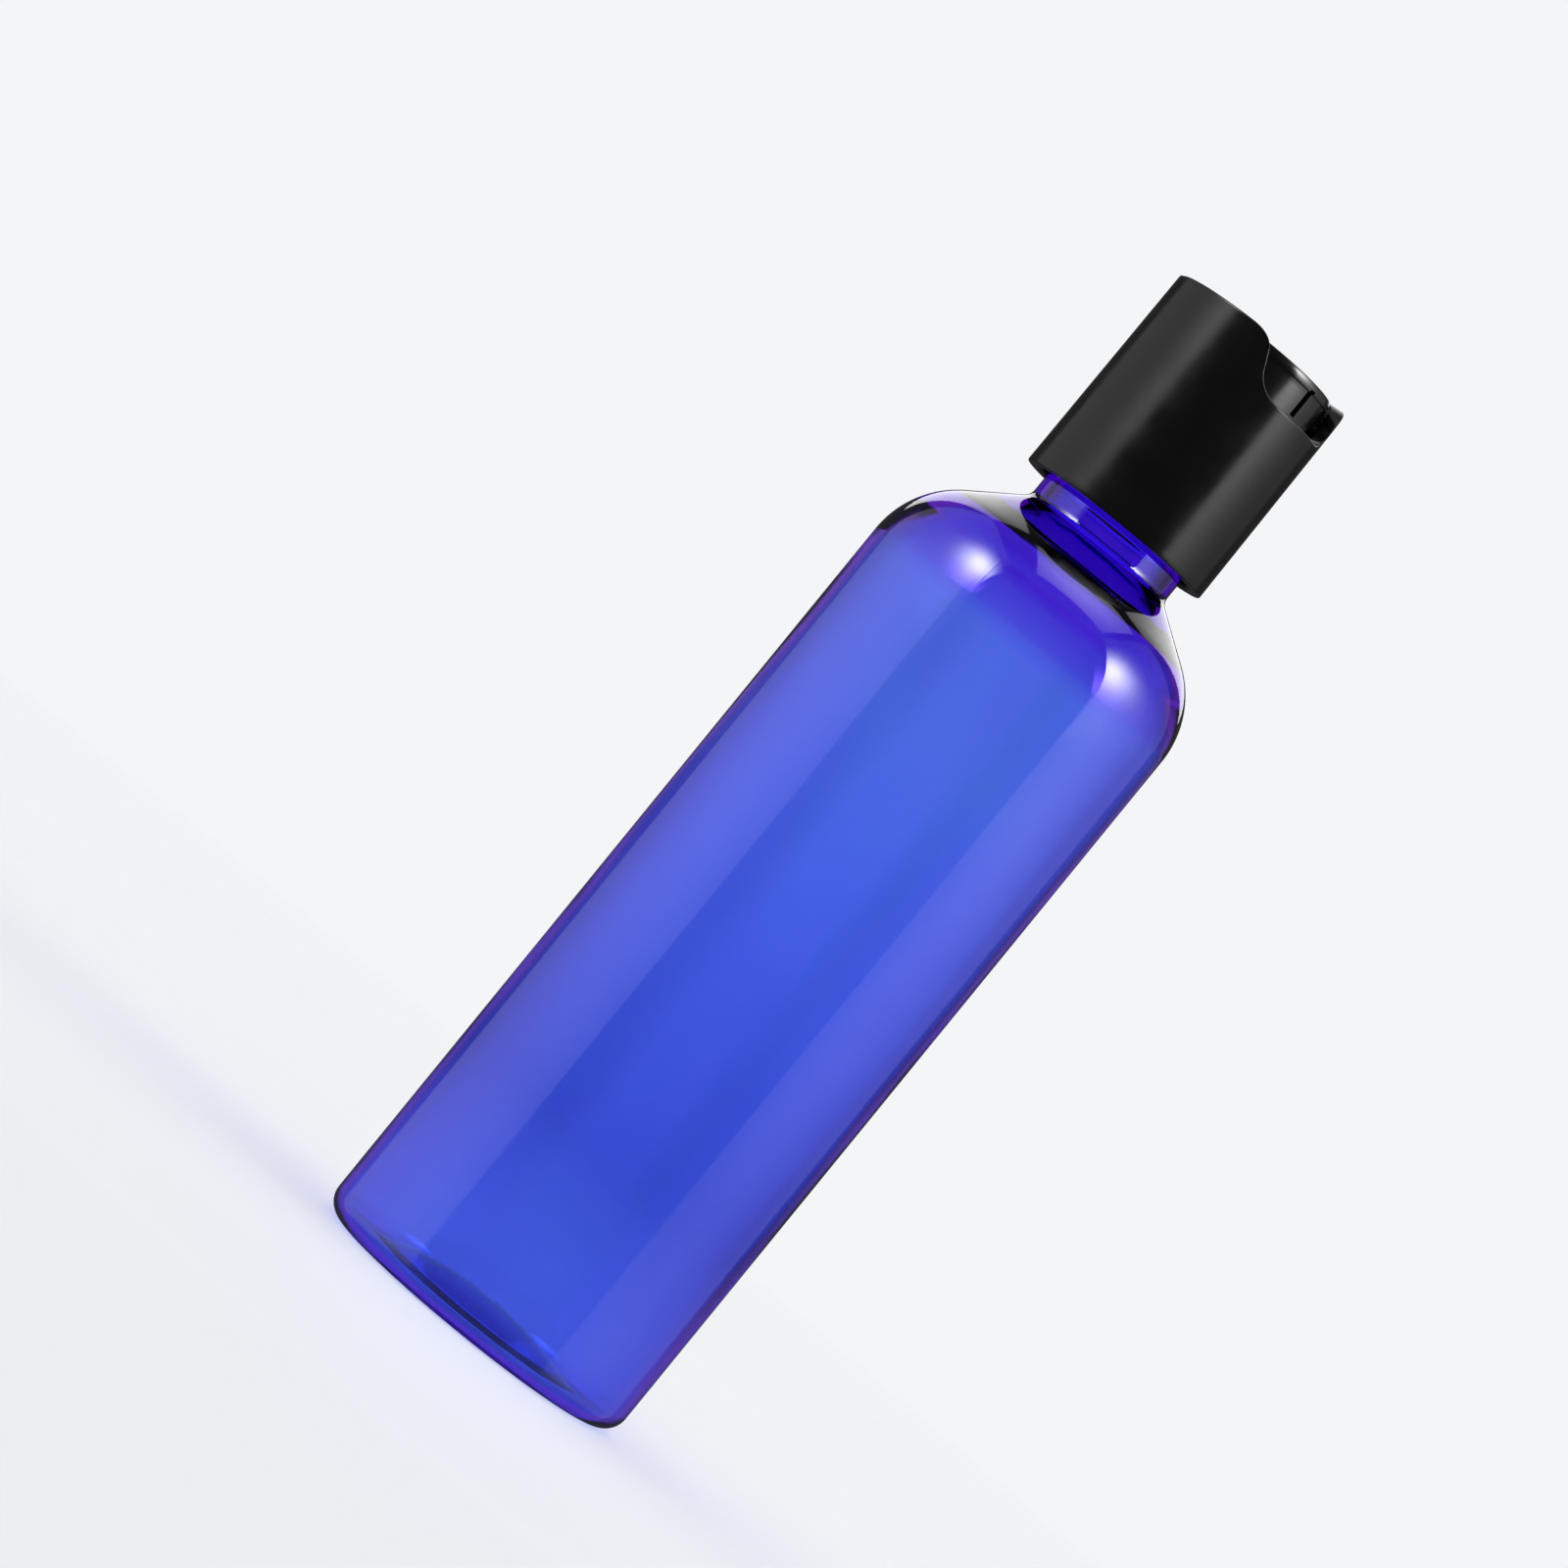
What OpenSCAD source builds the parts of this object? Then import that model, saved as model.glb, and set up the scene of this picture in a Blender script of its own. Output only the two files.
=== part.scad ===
// Squeeze bottle of clear blue plastic with a black disc-top cap.
// The origin is the centre of the base on the standing plane, and +Z points up along the bottle.
// The cap's outlet faces -Y, and the rocking disc turns about a pivot line along X.

/* [Bottle] */
// Outer diameter of the straight body
body_d = 39; // [37:0.5:44]
// Height from the standing plane to the foot of the neck
body_h = 105; // [80:1:140]
// Wall thickness of the body and the shoulder
body_wall = 0.7; // [0.5:0.05:1]
// Radius of the round part of the shoulder
shoulder_r = 11; // [9:0.25:12]
// Slope of the straight part of the shoulder, in degrees
shoulder_slope = 35; // [32:1:40]
// Radius of the heel, between the body and the base
heel_r = 2.5; // [2:0.1:3]
// How much thicker the upper part of the shoulder is than the body
shoulder_extra = 0.55; // [0.4:0.05:0.7]
// Thickness of the flat ring that the bottle stands on
ring_t = 0.8; // [0.7:0.05:1]
// Thickness of the domed push-up in the base
base_t = 1.5; // [1.2:0.1:1.8]
// Inner diameter of the flat ring that the bottle stands on
stand_ring_d = 29; // [27:0.5:31]
// Step from the standing ring up to the rest of the base
stand_step = 0.3; // [0.2:0.05:0.5]
// Diameter of the push-up
push_up_d = 23.6; // [20:0.2:26]
// Height of the top of the push-up above the standing plane
push_up_h = 2; // [1.6:0.1:2.6]

/* [Neck] */
// Outer diameter of the neck between the thread ridges
finish_d = 17.6; // [16.5:0.1:19]
// Wall thickness of the neck
neck_wall = 1.8; // [1.4:0.1:2.2]
// How far the plain neck below the thread stands out from the threaded part
neck_step = 0.25; // [0.1:0.05:0.4]
// Height of the pouring lip above the foot of the neck
finish_h = 15.9; // [15.2:0.1:16.8]
// Height of the plain neck that shows below the cap
neck_gap = 2.8; // [2.2:0.1:3.4]
// How far the shoulder round the foot of the neck stays as thick as the neck
root_reach = 2.35; // [2:0.05:2.8]
// Slope, on the inside, of the step where that thick part ends, in degrees
root_step_slope = 20; // [16:1:24]

/* [Thread] */
// Radial height of the neck's thread ridge
ridge_h = 1.05; // [0.9:0.05:1.15]
// Radial height of the ridge inside the cap
cap_ridge_h = 0.8; // [0.6:0.05:0.9]
// Radial clearance between the neck's ridge and the inside of the cap
thread_slack = 0.2; // [0.15:0.05:0.25]
// Rise of the thread in one turn
thread_pitch = 3.175; // [3:0.025:3.4]
// Turns of thread on the neck and in the cap
thread_turns = 1.5; // [1:0.25:1.75]
// Axial width of each ridge at its root
ridge_root_w = 1.5; // [1.2:0.05:1.6]
// Axial width of each ridge at its crest
ridge_crest_w = 0.7; // [0.5:0.05:0.9]
// Distance from the pouring lip down to the middle of the thread's upper end
thread_drop = 2.6; // [2.3:0.1:3]

/* [Cap] */
// Thickness of the skirt at its lower edge
skirt_wall = 1.6; // [1.3:0.05:2]
// Draft: how much further in the outside of the cap lies at its top
cap_draft = 0.2; // [0:0.05:0.3]
// Thickness of the rim round the well
rim_wall = 1.35; // [1.2:0.05:1.6]
// Depth of the open well that the disc rocks in
well_depth = 9.9; // [9.3:0.1:11]
// Thickness of the deck between the thread and the well
deck_t = 1.2; // [0.9:0.1:1.4]
// Radius on the outer edge of the rim
rim_round = 0.4; // [0.2:0.05:0.6]
// Diameter of the hole through the deck
orifice_d = 3; // [2:0.25:4]
// Lead-in chamfer at the lower edge of the skirt
lead_in = 0.3; // [0.2:0.05:0.4]

/* [Notch] */
// Depth of the notch in the rim, in front of the outlet
notch_depth = 5.3; // [4.8:0.1:5.6]
// Width of the flat floor of the notch
notch_floor_w = 8.8; // [8:0.1:9.4]
// Radius of the notch's lower corners
notch_corner_r = 3; // [2.4:0.1:3]
// Lean of the notch's sides from the vertical, in degrees
notch_lean = 20; // [12:1:24]
// Radius where the notch's sides run out into the rim
notch_rim_r = 2; // [1:0.1:2.2]

/* [Disc] */
// Gap between the disc's top plate and the wall of the well
disc_gap = 0.5; // [0.4:0.05:0.8]
// How far the top of the disc lies below the rim
disc_recess = 0.6; // [0.4:0.05:0.9]
// Thickness of the disc's top plate
disc_t = 1.05; // [0.8:0.05:1.3]
// How far the disc's side wall is set in below the plate
disc_step = 0.25; // [0.2:0.05:0.3]
// Thickness of the disc's side wall
disc_wall = 1; // [0.8:0.05:1.1]
// Angle through which the disc rocks open, in degrees
disc_tilt = 20; // [15:1:22]
// Space between the rocking disc and the wall of the well
swing_gap = 0.2; // [0.15:0.05:0.25]
// Space left between the disc's foot and the deck when the disc is fully open
foot_gap = 0.3; // [0.2:0.05:0.5]
// Depth of the pivot line below the rim
pivot_drop = 3.5; // [3.4:0.05:3.7]
// Diameter of the trunnions
trunnion_d = 2.2; // [1.8:0.1:2.4]
// Clearance round each trunnion and round the valve ball
pivot_fit = 0.05; // [0.03:0.01:0.08]
// Length that each trunnion stands into its socket
trunnion_reach = 0.75; // [0.6:0.05:0.8]
// Depth of clear space past the end of each trunnion
socket_end_gap = 0.1; // [0.05:0.05:0.2]
// Depth of the thumb hollow in the back of the disc
thumb_depth = 0.3; // [0.2:0.05:0.4]
// Diameter of the thumb hollow
thumb_d = 8; // [6:0.25:9]

/* [Valve] */
// Diameter of the valve ball under the disc
ball_d = 8.4; // [8:0.05:8.8]
// Angle from straight down to the inner edge of the ball's seat, in degrees
seat_angle = 45; // [43:1:47]
// Arc of seat that seals between the chamber and the closed inlet, in degrees
seal_angle = 4.6; // [3:0.2:6]
// Wall thickness of the collar round the seat
collar_wall = 2.4; // [2:0.1:2.8]
// Diameter of the channel from the ball to the outlet
channel_d = 2.2; // [1.8:0.1:2.4]
// Wall round the channel
channel_wall = 0.7; // [0.5:0.05:0.75]
// Diameter of the inlet in the back of the ball
inlet_d = 1.8; // [1.4:0.1:2]
// Width of the outlet slot
slot_w = 0.8; // [0.6:0.05:1.2]
// Height of the outlet slot
slot_h = 3.5; // [3:0.1:3.6]
// Distance from the top of the disc down to the outlet slot
slot_drop = 0.7; // [0.65:0.05:0.8]
// Depth of the outlet slot
slot_depth = 2; // [1.5:0.1:2.4]
// Wall round the outlet slot
slot_wall = 0.8; // [0.6:0.05:1]

/* [Liner] */
// Gap between the sealing ring and the inside of the cap
liner_gap = 0.25; // [0.15:0.05:0.4]
// How far the sealing ring reaches in past the bore of the neck
liner_lap = 1; // [0:0.1:3]
// Thickness of the sealing ring
liner_t = 1; // [0.8:0.1:1.2]

/* [Hidden] */

$fn = 96;
over = 1;           // how far a cut runs past the face that it opens
crease = 0.02;      // depth of the slight crease where a rounded edge meets its neighbours
sink = 0.3;         // how far a ridge is rooted into its wall
ring_steps = 40;    // sections in one turn of a ridge
run_out = 45;       // degrees over which a ridge fades out at each end
thread_start = 25;  // direction in which each ridge begins, in degrees
end_share = 0.15;   // share of its full size that a ridge has at its very end

// Body and shoulder
body_r = body_d / 2;
finish_r = finish_d / 2;
neck_r = finish_r + neck_step;
neck_bore_r = finish_r - neck_wall;
arc_end_angle = 90 - shoulder_slope;
arc_x = body_r - shoulder_r;
arc_end_x = arc_x + shoulder_r * cos(arc_end_angle);
slope_rise = (arc_end_x - neck_r) * tan(shoulder_slope);
arc_z = body_h - slope_rise - shoulder_r * sin(arc_end_angle);
root_wall = neck_r - neck_bore_r;
root_r = neck_r + root_reach;
push_up_r = (pow(push_up_d / 2, 2) + pow(push_up_h, 2)) / (2 * push_up_h);
push_up_z = push_up_h - push_up_r;
inner_heel_r = heel_r - body_wall;

// Heights of the neck and of the cap
lip_z = body_h + finish_h;
skirt_z = body_h + neck_gap;
deck_z = lip_z + liner_t;
deck_top_z = deck_z + deck_t;
rim_z = deck_top_z + well_depth;
pivot_z = rim_z - pivot_drop;

// Thread: the cap's ridge runs half a pitch below the neck's
thread_r = finish_r + ridge_h;
skirt_bore_r = thread_r + thread_slack;
neck_thread_z = lip_z - thread_drop - thread_turns * thread_pitch;
cap_thread_z = neck_thread_z - thread_pitch / 2;

// Cap, well and liner
cap_r = skirt_bore_r + skirt_wall;
rim_r = cap_r - cap_draft;
well_r = rim_r - rim_wall;
liner_r = skirt_bore_r - liner_gap;

// Disc: its foot reaches as low as the open position allows
disc_r = well_r - disc_gap;
disc_skirt_r = disc_r - disc_step;
swing_r = well_r - swing_gap;
disc_top_z = rim_z - disc_recess;
plate_z = disc_top_z - disc_t;
foot_drop = (well_depth - pivot_drop - foot_gap - disc_skirt_r * sin(disc_tilt)) / cos(disc_tilt);
disc_foot_z = pivot_z - foot_drop;
trunnion_end = well_r + trunnion_reach;
socket_end = trunnion_end + socket_end_gap;

// Valve: the collar's top slopes down to the front, below the channel
ball_r = ball_d / 2;
seat_r = ball_r + pivot_fit;
chamber_r = seat_r * sin(seat_angle);
collar_r = chamber_r + collar_wall;
inlet_angle = seat_angle + seal_angle + asin(inlet_d / ball_d);
channel_r = channel_d / 2 + channel_wall;
collar_back_drop = 0.8;
collar_front_drop = channel_r + 0.4;
collar_slope = atan((collar_front_drop - collar_back_drop) / (2 * collar_r));
slot_z = disc_top_z - slot_drop - slot_h / 2;

// Notch: places where its round corners meet its leaning sides
notch_floor_z = rim_z - notch_depth;
side_x = notch_floor_w / 2 + notch_corner_r * cos(notch_lean);
side_z = notch_floor_z + notch_corner_r * (1 - sin(notch_lean));
rim_arc_z = rim_z - notch_rim_r + crease;
rim_arc_x = side_x + (rim_arc_z - side_z) * tan(notch_lean) + (notch_rim_r - crease) / cos(notch_lean);
rim_cut_r = notch_rim_r + over;
rim_cut_start = [rim_arc_x - rim_cut_r * cos(notch_lean), rim_arc_z + rim_cut_r * sin(notch_lean)];

// Points of one section of a ridge at angle a (degrees), whose size fades towards both ends
function fade(a, sweep) = min(1, end_share + (1 - end_share) * min(a, sweep - a) / run_out);
function ridge_section(a, sweep, wall_r, crest_r) =
    let (
        size = fade(a, sweep),
        side = sign(crest_r - wall_r),
        tip_r = wall_r + (crest_r - wall_r) * size,
        flare = (ridge_root_w - ridge_crest_w) * sink / abs(crest_r - wall_r),
        root = (ridge_root_w * size + flare) / 2,
        crest = ridge_crest_w * size / 2,
        rise = thread_pitch * a / 360,
        turn = thread_start + a,
        sunk_r = wall_r - side * sink,
        points = [[sunk_r, -root], [tip_r, -crest], [tip_r, crest], [sunk_r, root]]
    )
    [for (p = points) [p[0] * cos(turn), p[0] * sin(turn), rise + p[1]]];

// A helical ridge from the wall at wall_r to its crest at crest_r, starting at height z
module ridge(wall_r, crest_r, z) {
    sweep = 360 * thread_turns;
    steps = round(ring_steps * thread_turns);
    sections = [for (i = [0 : steps]) ridge_section(sweep * i / steps, sweep, wall_r, crest_r)];
    points = [for (s = sections, p = s) p];
    n = len(sections[0]);
    outward = crest_r > wall_r;
    sides = [for (i = [0 : steps - 1], j = [0 : n - 1])
        let (a = i * n + j, b = i * n + (j + 1) % n)
        each [[a, b, b + n], [a, b + n, a + n]]];
    ends = [[for (j = [n - 1 : -1 : 0]) j], [for (j = [0 : n - 1]) steps * n + j]];
    faces = concat(sides, ends);
    translate([0, 0, z])
        polyhedron(points, outward ? faces : [for (f = faces) [for (k = [len(f) - 1 : -1 : 0]) f[k]]]);
}

// Half outline of the bottle's outside
module bottle_outline() {
    square([body_r - heel_r, arc_z]);
    translate([0, heel_r])
        square([body_r, arc_z - heel_r]);
    translate([body_r - heel_r, heel_r])
        circle(heel_r);
    intersection() {
        translate([arc_x, arc_z])
            circle(shoulder_r);
        translate([0, arc_z - over])
            square([body_r, shoulder_r + over]);
    }
    polygon([[0, arc_z], [arc_x, arc_z], [arc_end_x, body_h - slope_rise], [neck_r, body_h], [0, body_h]]);
    translate([0, body_h - over])
        square([neck_r, neck_gap + over]);
    polygon([
        [0, skirt_z], [neck_r, skirt_z], [finish_r, skirt_z + 2 * neck_step],
        [finish_r, lip_z - lead_in], [finish_r - lead_in, lip_z], [0, lip_z]
    ]);
}

// Half outline of the space inside the bottle
module cavity_outline() {
    inner_r = body_r - body_wall;
    arc_r = shoulder_r - body_wall;
    thicken_z = arc_z - 2 * shoulder_extra;
    root_edge_z = body_h - root_wall / cos(shoulder_slope) - root_reach * tan(shoulder_slope);
    bore_foot_z = root_edge_z + (root_r - neck_bore_r) * tan(shoulder_slope);
    step_foot_z = root_edge_z - (inner_r - root_r) * tan(root_step_slope);
    difference() {
        union() {
            translate([0, ring_t])
                square([inner_r - inner_heel_r, thicken_z - ring_t]);
            translate([0, ring_t + inner_heel_r])
                square([inner_r, thicken_z - ring_t - inner_heel_r]);
            translate([inner_r - inner_heel_r, ring_t + inner_heel_r])
                circle(inner_heel_r);
            intersection() {
                union() {
                    translate([arc_x, thicken_z])
                        circle(arc_r);
                    translate([arc_x, arc_z])
                        circle(arc_r - shoulder_extra);
                }
                polygon([[0, thicken_z - over], [inner_r, thicken_z - over], [inner_r, step_foot_z],
                         [root_r, root_edge_z], [0, root_edge_z]]);
            }
            polygon([[0, thicken_z], [arc_x, thicken_z], [root_r, root_edge_z],
                     [neck_bore_r, bore_foot_z], [0, bore_foot_z]]);
            translate([0, bore_foot_z - over])
                square([neck_bore_r, lip_z - bore_foot_z + 2 * over]);
        }
        translate([0, push_up_z])
            circle(push_up_r + base_t);
    }
}

module bottle() {
    color("royalblue") {
        rotate_extrude()
            difference() {
                intersection() {
                    bottle_outline();
                    square([body_d, lip_z]);
                }
                cavity_outline();
                translate([0, push_up_z])
                    circle(push_up_r);
                translate([0, -over])
                    square([stand_ring_d / 2, stand_step + over]);
            }
        ridge(finish_r, thread_r, neck_thread_z);
    }
}

module liner() {
    color("white")
        translate([0, 0, lip_z])
            difference() {
                cylinder(r = liner_r, h = liner_t);
                translate([0, 0, -over])
                    cylinder(r = neck_bore_r - liner_lap, h = liner_t + 2 * over);
            }
}

// Half outline of the cap: skirt, deck and rim
module cap_outline() {
    difference() {
        union() {
            polygon([[0, skirt_z], [cap_r, skirt_z], [rim_r, rim_z - rim_round], [0, rim_z - rim_round]]);
            translate([rim_r - rim_round, rim_z - rim_round])
                circle(rim_round);
            translate([0, rim_z - 2 * rim_round])
                square([rim_r - rim_round, 2 * rim_round]);
        }
        translate([0, skirt_z - over])
            square([skirt_bore_r, deck_z - skirt_z + over]);
        polygon([[0, skirt_z - over], [skirt_bore_r + lead_in + over, skirt_z - over],
                 [skirt_bore_r, skirt_z + lead_in], [0, skirt_z + lead_in]]);
        translate([0, deck_top_z])
            square([well_r, rim_z]);
        translate([0, deck_z - over])
            square([orifice_d / 2, deck_t + 2 * over]);
    }
}

// Outline of the notch seen from the front
module notch_outline() {
    for (side = [-1, 1])
        scale([side, 1]) {
            polygon([[0, notch_floor_z], [notch_floor_w / 2, notch_floor_z], [side_x, side_z],
                     [side_x + (rim_z + over - side_z) * tan(notch_lean), rim_z + over], [0, rim_z + over]]);
            translate([notch_floor_w / 2, notch_floor_z + notch_corner_r])
                circle(notch_corner_r);
            difference() {
                polygon([[rim_arc_x, rim_arc_z], rim_cut_start, [rim_cut_start[0], rim_z + over],
                         [rim_arc_x, rim_z + over]]);
                translate([rim_arc_x, rim_arc_z])
                    circle(notch_rim_r);
            }
        }
}

// The notch cuts the front of the rim and stays clear of what stands inside the well
module notch_cut() {
    difference() {
        rotate([90, 0, 0])
            linear_extrude(cap_r + over)
                notch_outline();
        translate([0, 0, deck_z])
            cylinder(r = well_r - over, h = well_depth + deck_t + over);
    }
}

// Ring-shaped seat for the valve ball, cut off at a slant so that it clears the channel
module collar() {
    difference() {
        translate([0, 0, deck_z + deck_t / 2])
            cylinder(r = collar_r, h = pivot_z - deck_z);
        translate([0, 0, deck_top_z])
            cylinder(r = chamber_r, h = well_depth);
        translate([0, 0, deck_z])
            cylinder(d = orifice_d, h = well_depth);
        translate([0, 0, pivot_z])
            sphere(seat_r);
        translate([0, 0, pivot_z - (collar_front_drop + collar_back_drop) / 2])
            rotate([collar_slope, 0, 0])
                translate([-cap_r, -cap_r, 0])
                    cube(2 * cap_r);
    }
}

module cap_body() {
    color("black") {
        difference() {
            rotate_extrude()
                cap_outline();
            notch_cut();
            for (side = [-1, 1])
                translate([side * (well_r - over), 0, pivot_z])
                    rotate([0, side * 90, 0])
                        cylinder(d = trunnion_d + 2 * pivot_fit, h = socket_end - well_r + over);
        }
        collar();
        ridge(skirt_bore_r, skirt_bore_r - cap_ridge_h, cap_thread_z);
    }
}

// Plate and side wall of the disc, trimmed to the sphere that swings freely in the well
module disc_shell() {
    intersection() {
        translate([0, 0, pivot_z])
            sphere(swing_r);
        union() {
            translate([0, 0, plate_z])
                cylinder(r = disc_r, h = disc_t);
            translate([0, 0, disc_foot_z])
                difference() {
                    cylinder(r = disc_skirt_r, h = plate_z - disc_foot_z + disc_t / 2);
                    translate([0, 0, -over])
                        cylinder(r = disc_skirt_r - disc_wall, h = plate_z - disc_foot_z + over);
                }
        }
    }
}

// Block behind the outlet slot
module slot_block() {
    depth = slot_depth + slot_wall;
    intersection() {
        translate([-slot_w / 2 - slot_wall, -disc_skirt_r, slot_z - slot_h / 2 - slot_wall])
            cube([slot_w + 2 * slot_wall, depth, plate_z + disc_t / 2 - slot_z + slot_h / 2 + slot_wall]);
        translate([0, 0, disc_foot_z])
            cylinder(r = disc_skirt_r - disc_wall / 2, h = disc_top_z - disc_foot_z);
    }
}

module rocker_disc() {
    color("dimgray")
        difference() {
            union() {
                disc_shell();
                intersection() {
                    translate([0, 0, pivot_z])
                        sphere(ball_r);
                    translate([0, 0, pivot_z - ball_d])
                        cylinder(r = disc_r, h = ball_d + plate_z + disc_t / 2 - pivot_z);
                }
                translate([0, 0, pivot_z])
                    rotate([90, 0, 0])
                        cylinder(r = channel_r, h = disc_skirt_r - disc_wall / 2);
                translate([-channel_r / 2, -disc_skirt_r + disc_wall / 2, pivot_z])
                    cube([channel_r, disc_skirt_r - disc_wall / 2, plate_z - pivot_z + disc_t / 2]);
                slot_block();
                for (side = [-1, 1])
                    translate([side * (disc_skirt_r - disc_wall / 2), 0, pivot_z])
                        rotate([0, side * 90, 0])
                            cylinder(d = trunnion_d, h = trunnion_end - disc_skirt_r + disc_wall / 2);
            }
            translate([0, 0, pivot_z])
                rotate([90, 0, 0])
                    cylinder(d = channel_d, h = disc_skirt_r - slot_depth / 2);
            translate([0, 0, pivot_z])
                rotate([inlet_angle - 180, 0, 0])
                    cylinder(d = inlet_d, h = ball_d);
            translate([-slot_w / 2, -disc_r - over, slot_z - slot_h / 2])
                cube([slot_w, slot_depth + over + disc_step, slot_h]);
            thumb_hollow();
        }
}

// Shallow round hollow for the thumb, at the back of the disc
module thumb_hollow() {
    r = (pow(thumb_d / 2, 2) + pow(thumb_depth, 2)) / (2 * thumb_depth);
    translate([0, disc_r - thumb_d / 2 - disc_wall, disc_top_z - thumb_depth + r])
        sphere(r);
}

bottle();
liner();
cap_body();
rocker_disc();
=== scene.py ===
# %% [markdown]
# # A travel bottle with a press-open cap
#
# The object is a slim blown bottle of clear blue plastic with a black screw cap. A round disc
# rocks inside the cap: press its back edge and its front edge rises, with the slot in its front
# wall, and a valve ball below the disc opens the way from the bottle to the slot. This lesson
# dresses the solid model of that bottle. The solid model is already exact and jointed, so every
# piece made here takes its place, its sizes and its movement from it.
#
# We begin by loading the solid model.

# %% Load the solid model
import math

import bmesh
import bpy
import numpy as np
from mathutils import Matrix, Vector


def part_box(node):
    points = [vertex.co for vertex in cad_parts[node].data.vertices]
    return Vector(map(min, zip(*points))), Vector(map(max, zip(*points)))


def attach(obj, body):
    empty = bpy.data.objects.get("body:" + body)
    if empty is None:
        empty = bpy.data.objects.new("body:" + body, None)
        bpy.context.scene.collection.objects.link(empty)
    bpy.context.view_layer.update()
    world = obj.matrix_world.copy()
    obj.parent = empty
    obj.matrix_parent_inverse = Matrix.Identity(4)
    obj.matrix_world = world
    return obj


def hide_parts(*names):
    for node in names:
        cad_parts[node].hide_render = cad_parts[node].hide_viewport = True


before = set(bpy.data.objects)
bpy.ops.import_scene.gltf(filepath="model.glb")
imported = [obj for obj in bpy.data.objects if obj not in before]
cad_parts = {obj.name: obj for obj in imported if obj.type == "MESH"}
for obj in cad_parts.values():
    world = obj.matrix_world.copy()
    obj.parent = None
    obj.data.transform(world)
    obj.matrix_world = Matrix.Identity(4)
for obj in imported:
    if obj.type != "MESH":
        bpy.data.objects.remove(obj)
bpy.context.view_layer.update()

MM = 0.001

# %% [markdown]
# ## Sizes
#
# Everything below is worked out in millimetres, the unit a moulder would use, and turned into
# metres when a mesh is made. The main sizes are read from the solids, so they can't drift
# apart. Walls, seats and clearances that lie inside a solid are named where they are first
# needed.

# %% Read the main sizes from the solids
def node_size(node):
    """Reach from the axis, lowest and highest point of a solid, in mm."""
    low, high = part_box(node)
    return high.x / MM, low.z / MM, high.z / MM


BODY_R, _, LIP_Z = node_size("bottle")
CAP_R, SKIRT_Z, RIM_Z = node_size("cap_body")
LINER_R, LINER_Z, DECK_Z = node_size("liner")
DISC_TOP_Z = node_size("rocker_disc")[2]
PIVOT_DROP = 3.5
PIVOT_Z = RIM_Z - PIVOT_DROP
print(f"bottle {2 * BODY_R:.1f} wide and {LIP_Z:.1f} tall, cap {2 * CAP_R:.1f} wide")
print(f"cap from {SKIRT_Z:.1f} to {RIM_Z:.1f}, disc top {DISC_TOP_Z:.1f}, pivot {PIVOT_Z:.1f}")

# %% [markdown]
# ## Outlines
#
# A turned shape is an outline swept round an axis. The outlines here are lists of points, each
# a radius and a height. Small helpers write the straight stretches, the round ones and the soft
# corners, and put them together.

# %% Helpers for outlines
def straight(start, stop, steps):
    """Points from start towards stop, without stop itself."""
    t = np.linspace(0, 1, steps, endpoint=False)[:, None]
    return np.array(start, float) * (1 - t) + np.array(stop, float) * t


def rounded(centre, radius, first, last, steps):
    """Points of an arc between two angles in degrees, without the last one."""
    a = np.radians(np.linspace(first, last, steps, endpoint=False))
    return np.array(centre, float) + radius * np.stack([np.cos(a), np.sin(a)], 1)


def fillet(corner, before, after, size, steps):
    """A soft corner: a curve that leaves one side and joins the other, both size away."""
    corner, before, after = (np.array(p, float) for p in (corner, before, after))
    a = corner + size * (before - corner) / np.linalg.norm(before - corner)
    b = corner + size * (after - corner) / np.linalg.norm(after - corner)
    t = np.linspace(0, 1, steps)[:, None]
    return (1 - t) ** 2 * a + 2 * t * (1 - t) * corner + t**2 * b


def outline(*stretches):
    """One list of points from several stretches."""
    points = np.concatenate([np.atleast_2d(np.array(s, float)) for s in stretches])
    print(f"outline of {len(points)} points")
    return points


print("outline helpers ready")

# %% [markdown]
# The bottle stands on a narrow ring. Inside the ring its base lies a small step higher and is
# pushed up into a shallow dome, with a mark in the middle where the plastic was fed in. A round
# heel leads to a straight body, and the body ends in a round shoulder that goes on as a
# straight slope up to the neck. The neck has a plain stretch below the cap, and the thread
# above it.

# %% Sizes of the bottle
HEEL_R, WALL, SHOULDER_R, SLOPE = 2.5, 0.7, 11.0, 35.0
STEP_Z, STAND_R, PUSH_UP_R, PUSH_UP_Z = 0.3, 14.5, 35.81, -33.81
FLOOR_Z, DOME_R = 0.8, 37.31
GATE_MARK = [[0, 1.65], [0.45, 1.65], [0.75, 1.7], [0.95, 1.92]]
NECK_R, FINISH_R, BORE_R, FOOT_Z = 9.05, 8.8, 7.0, 105.0
ARC_X, ARC_Z, ARC_END = BODY_R - SHOULDER_R, 91.956, 90 - SLOPE
THREAD_LOW, THREAD_HIGH, THREAD_STEP = 111.6, 120.4, 0.11


def on_arc(radius, angle):
    """A point round the middle of the shoulder's curve."""
    a = math.radians(angle)
    return [ARC_X + radius * math.cos(a), ARC_Z + radius * math.sin(a)]


def dome(radius, r):
    """A point of the pushed-up base, at a distance r from the axis."""
    return [r, PUSH_UP_Z + math.sqrt(radius**2 - r**2)]


print(f"the shoulder's curve ends at a height of {on_arc(SHOULDER_R, ARC_END)[1]:.1f}")

# %% [markdown]
# The wall of the body is 0.7 mm thick. At the foot of the neck a blown bottle keeps nearly its
# full thickness, because the plastic isn't stretched there. This thick root goes on a little
# way under the slope of the shoulder and ends in a step. The step could be left out, but it is
# seen from outside: the light that crosses the thick root comes out deep violet, and the step
# turns light away, which draws a black line below the violet. From the step on, the wall gets
# thinner along the shoulder's curve.

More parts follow.
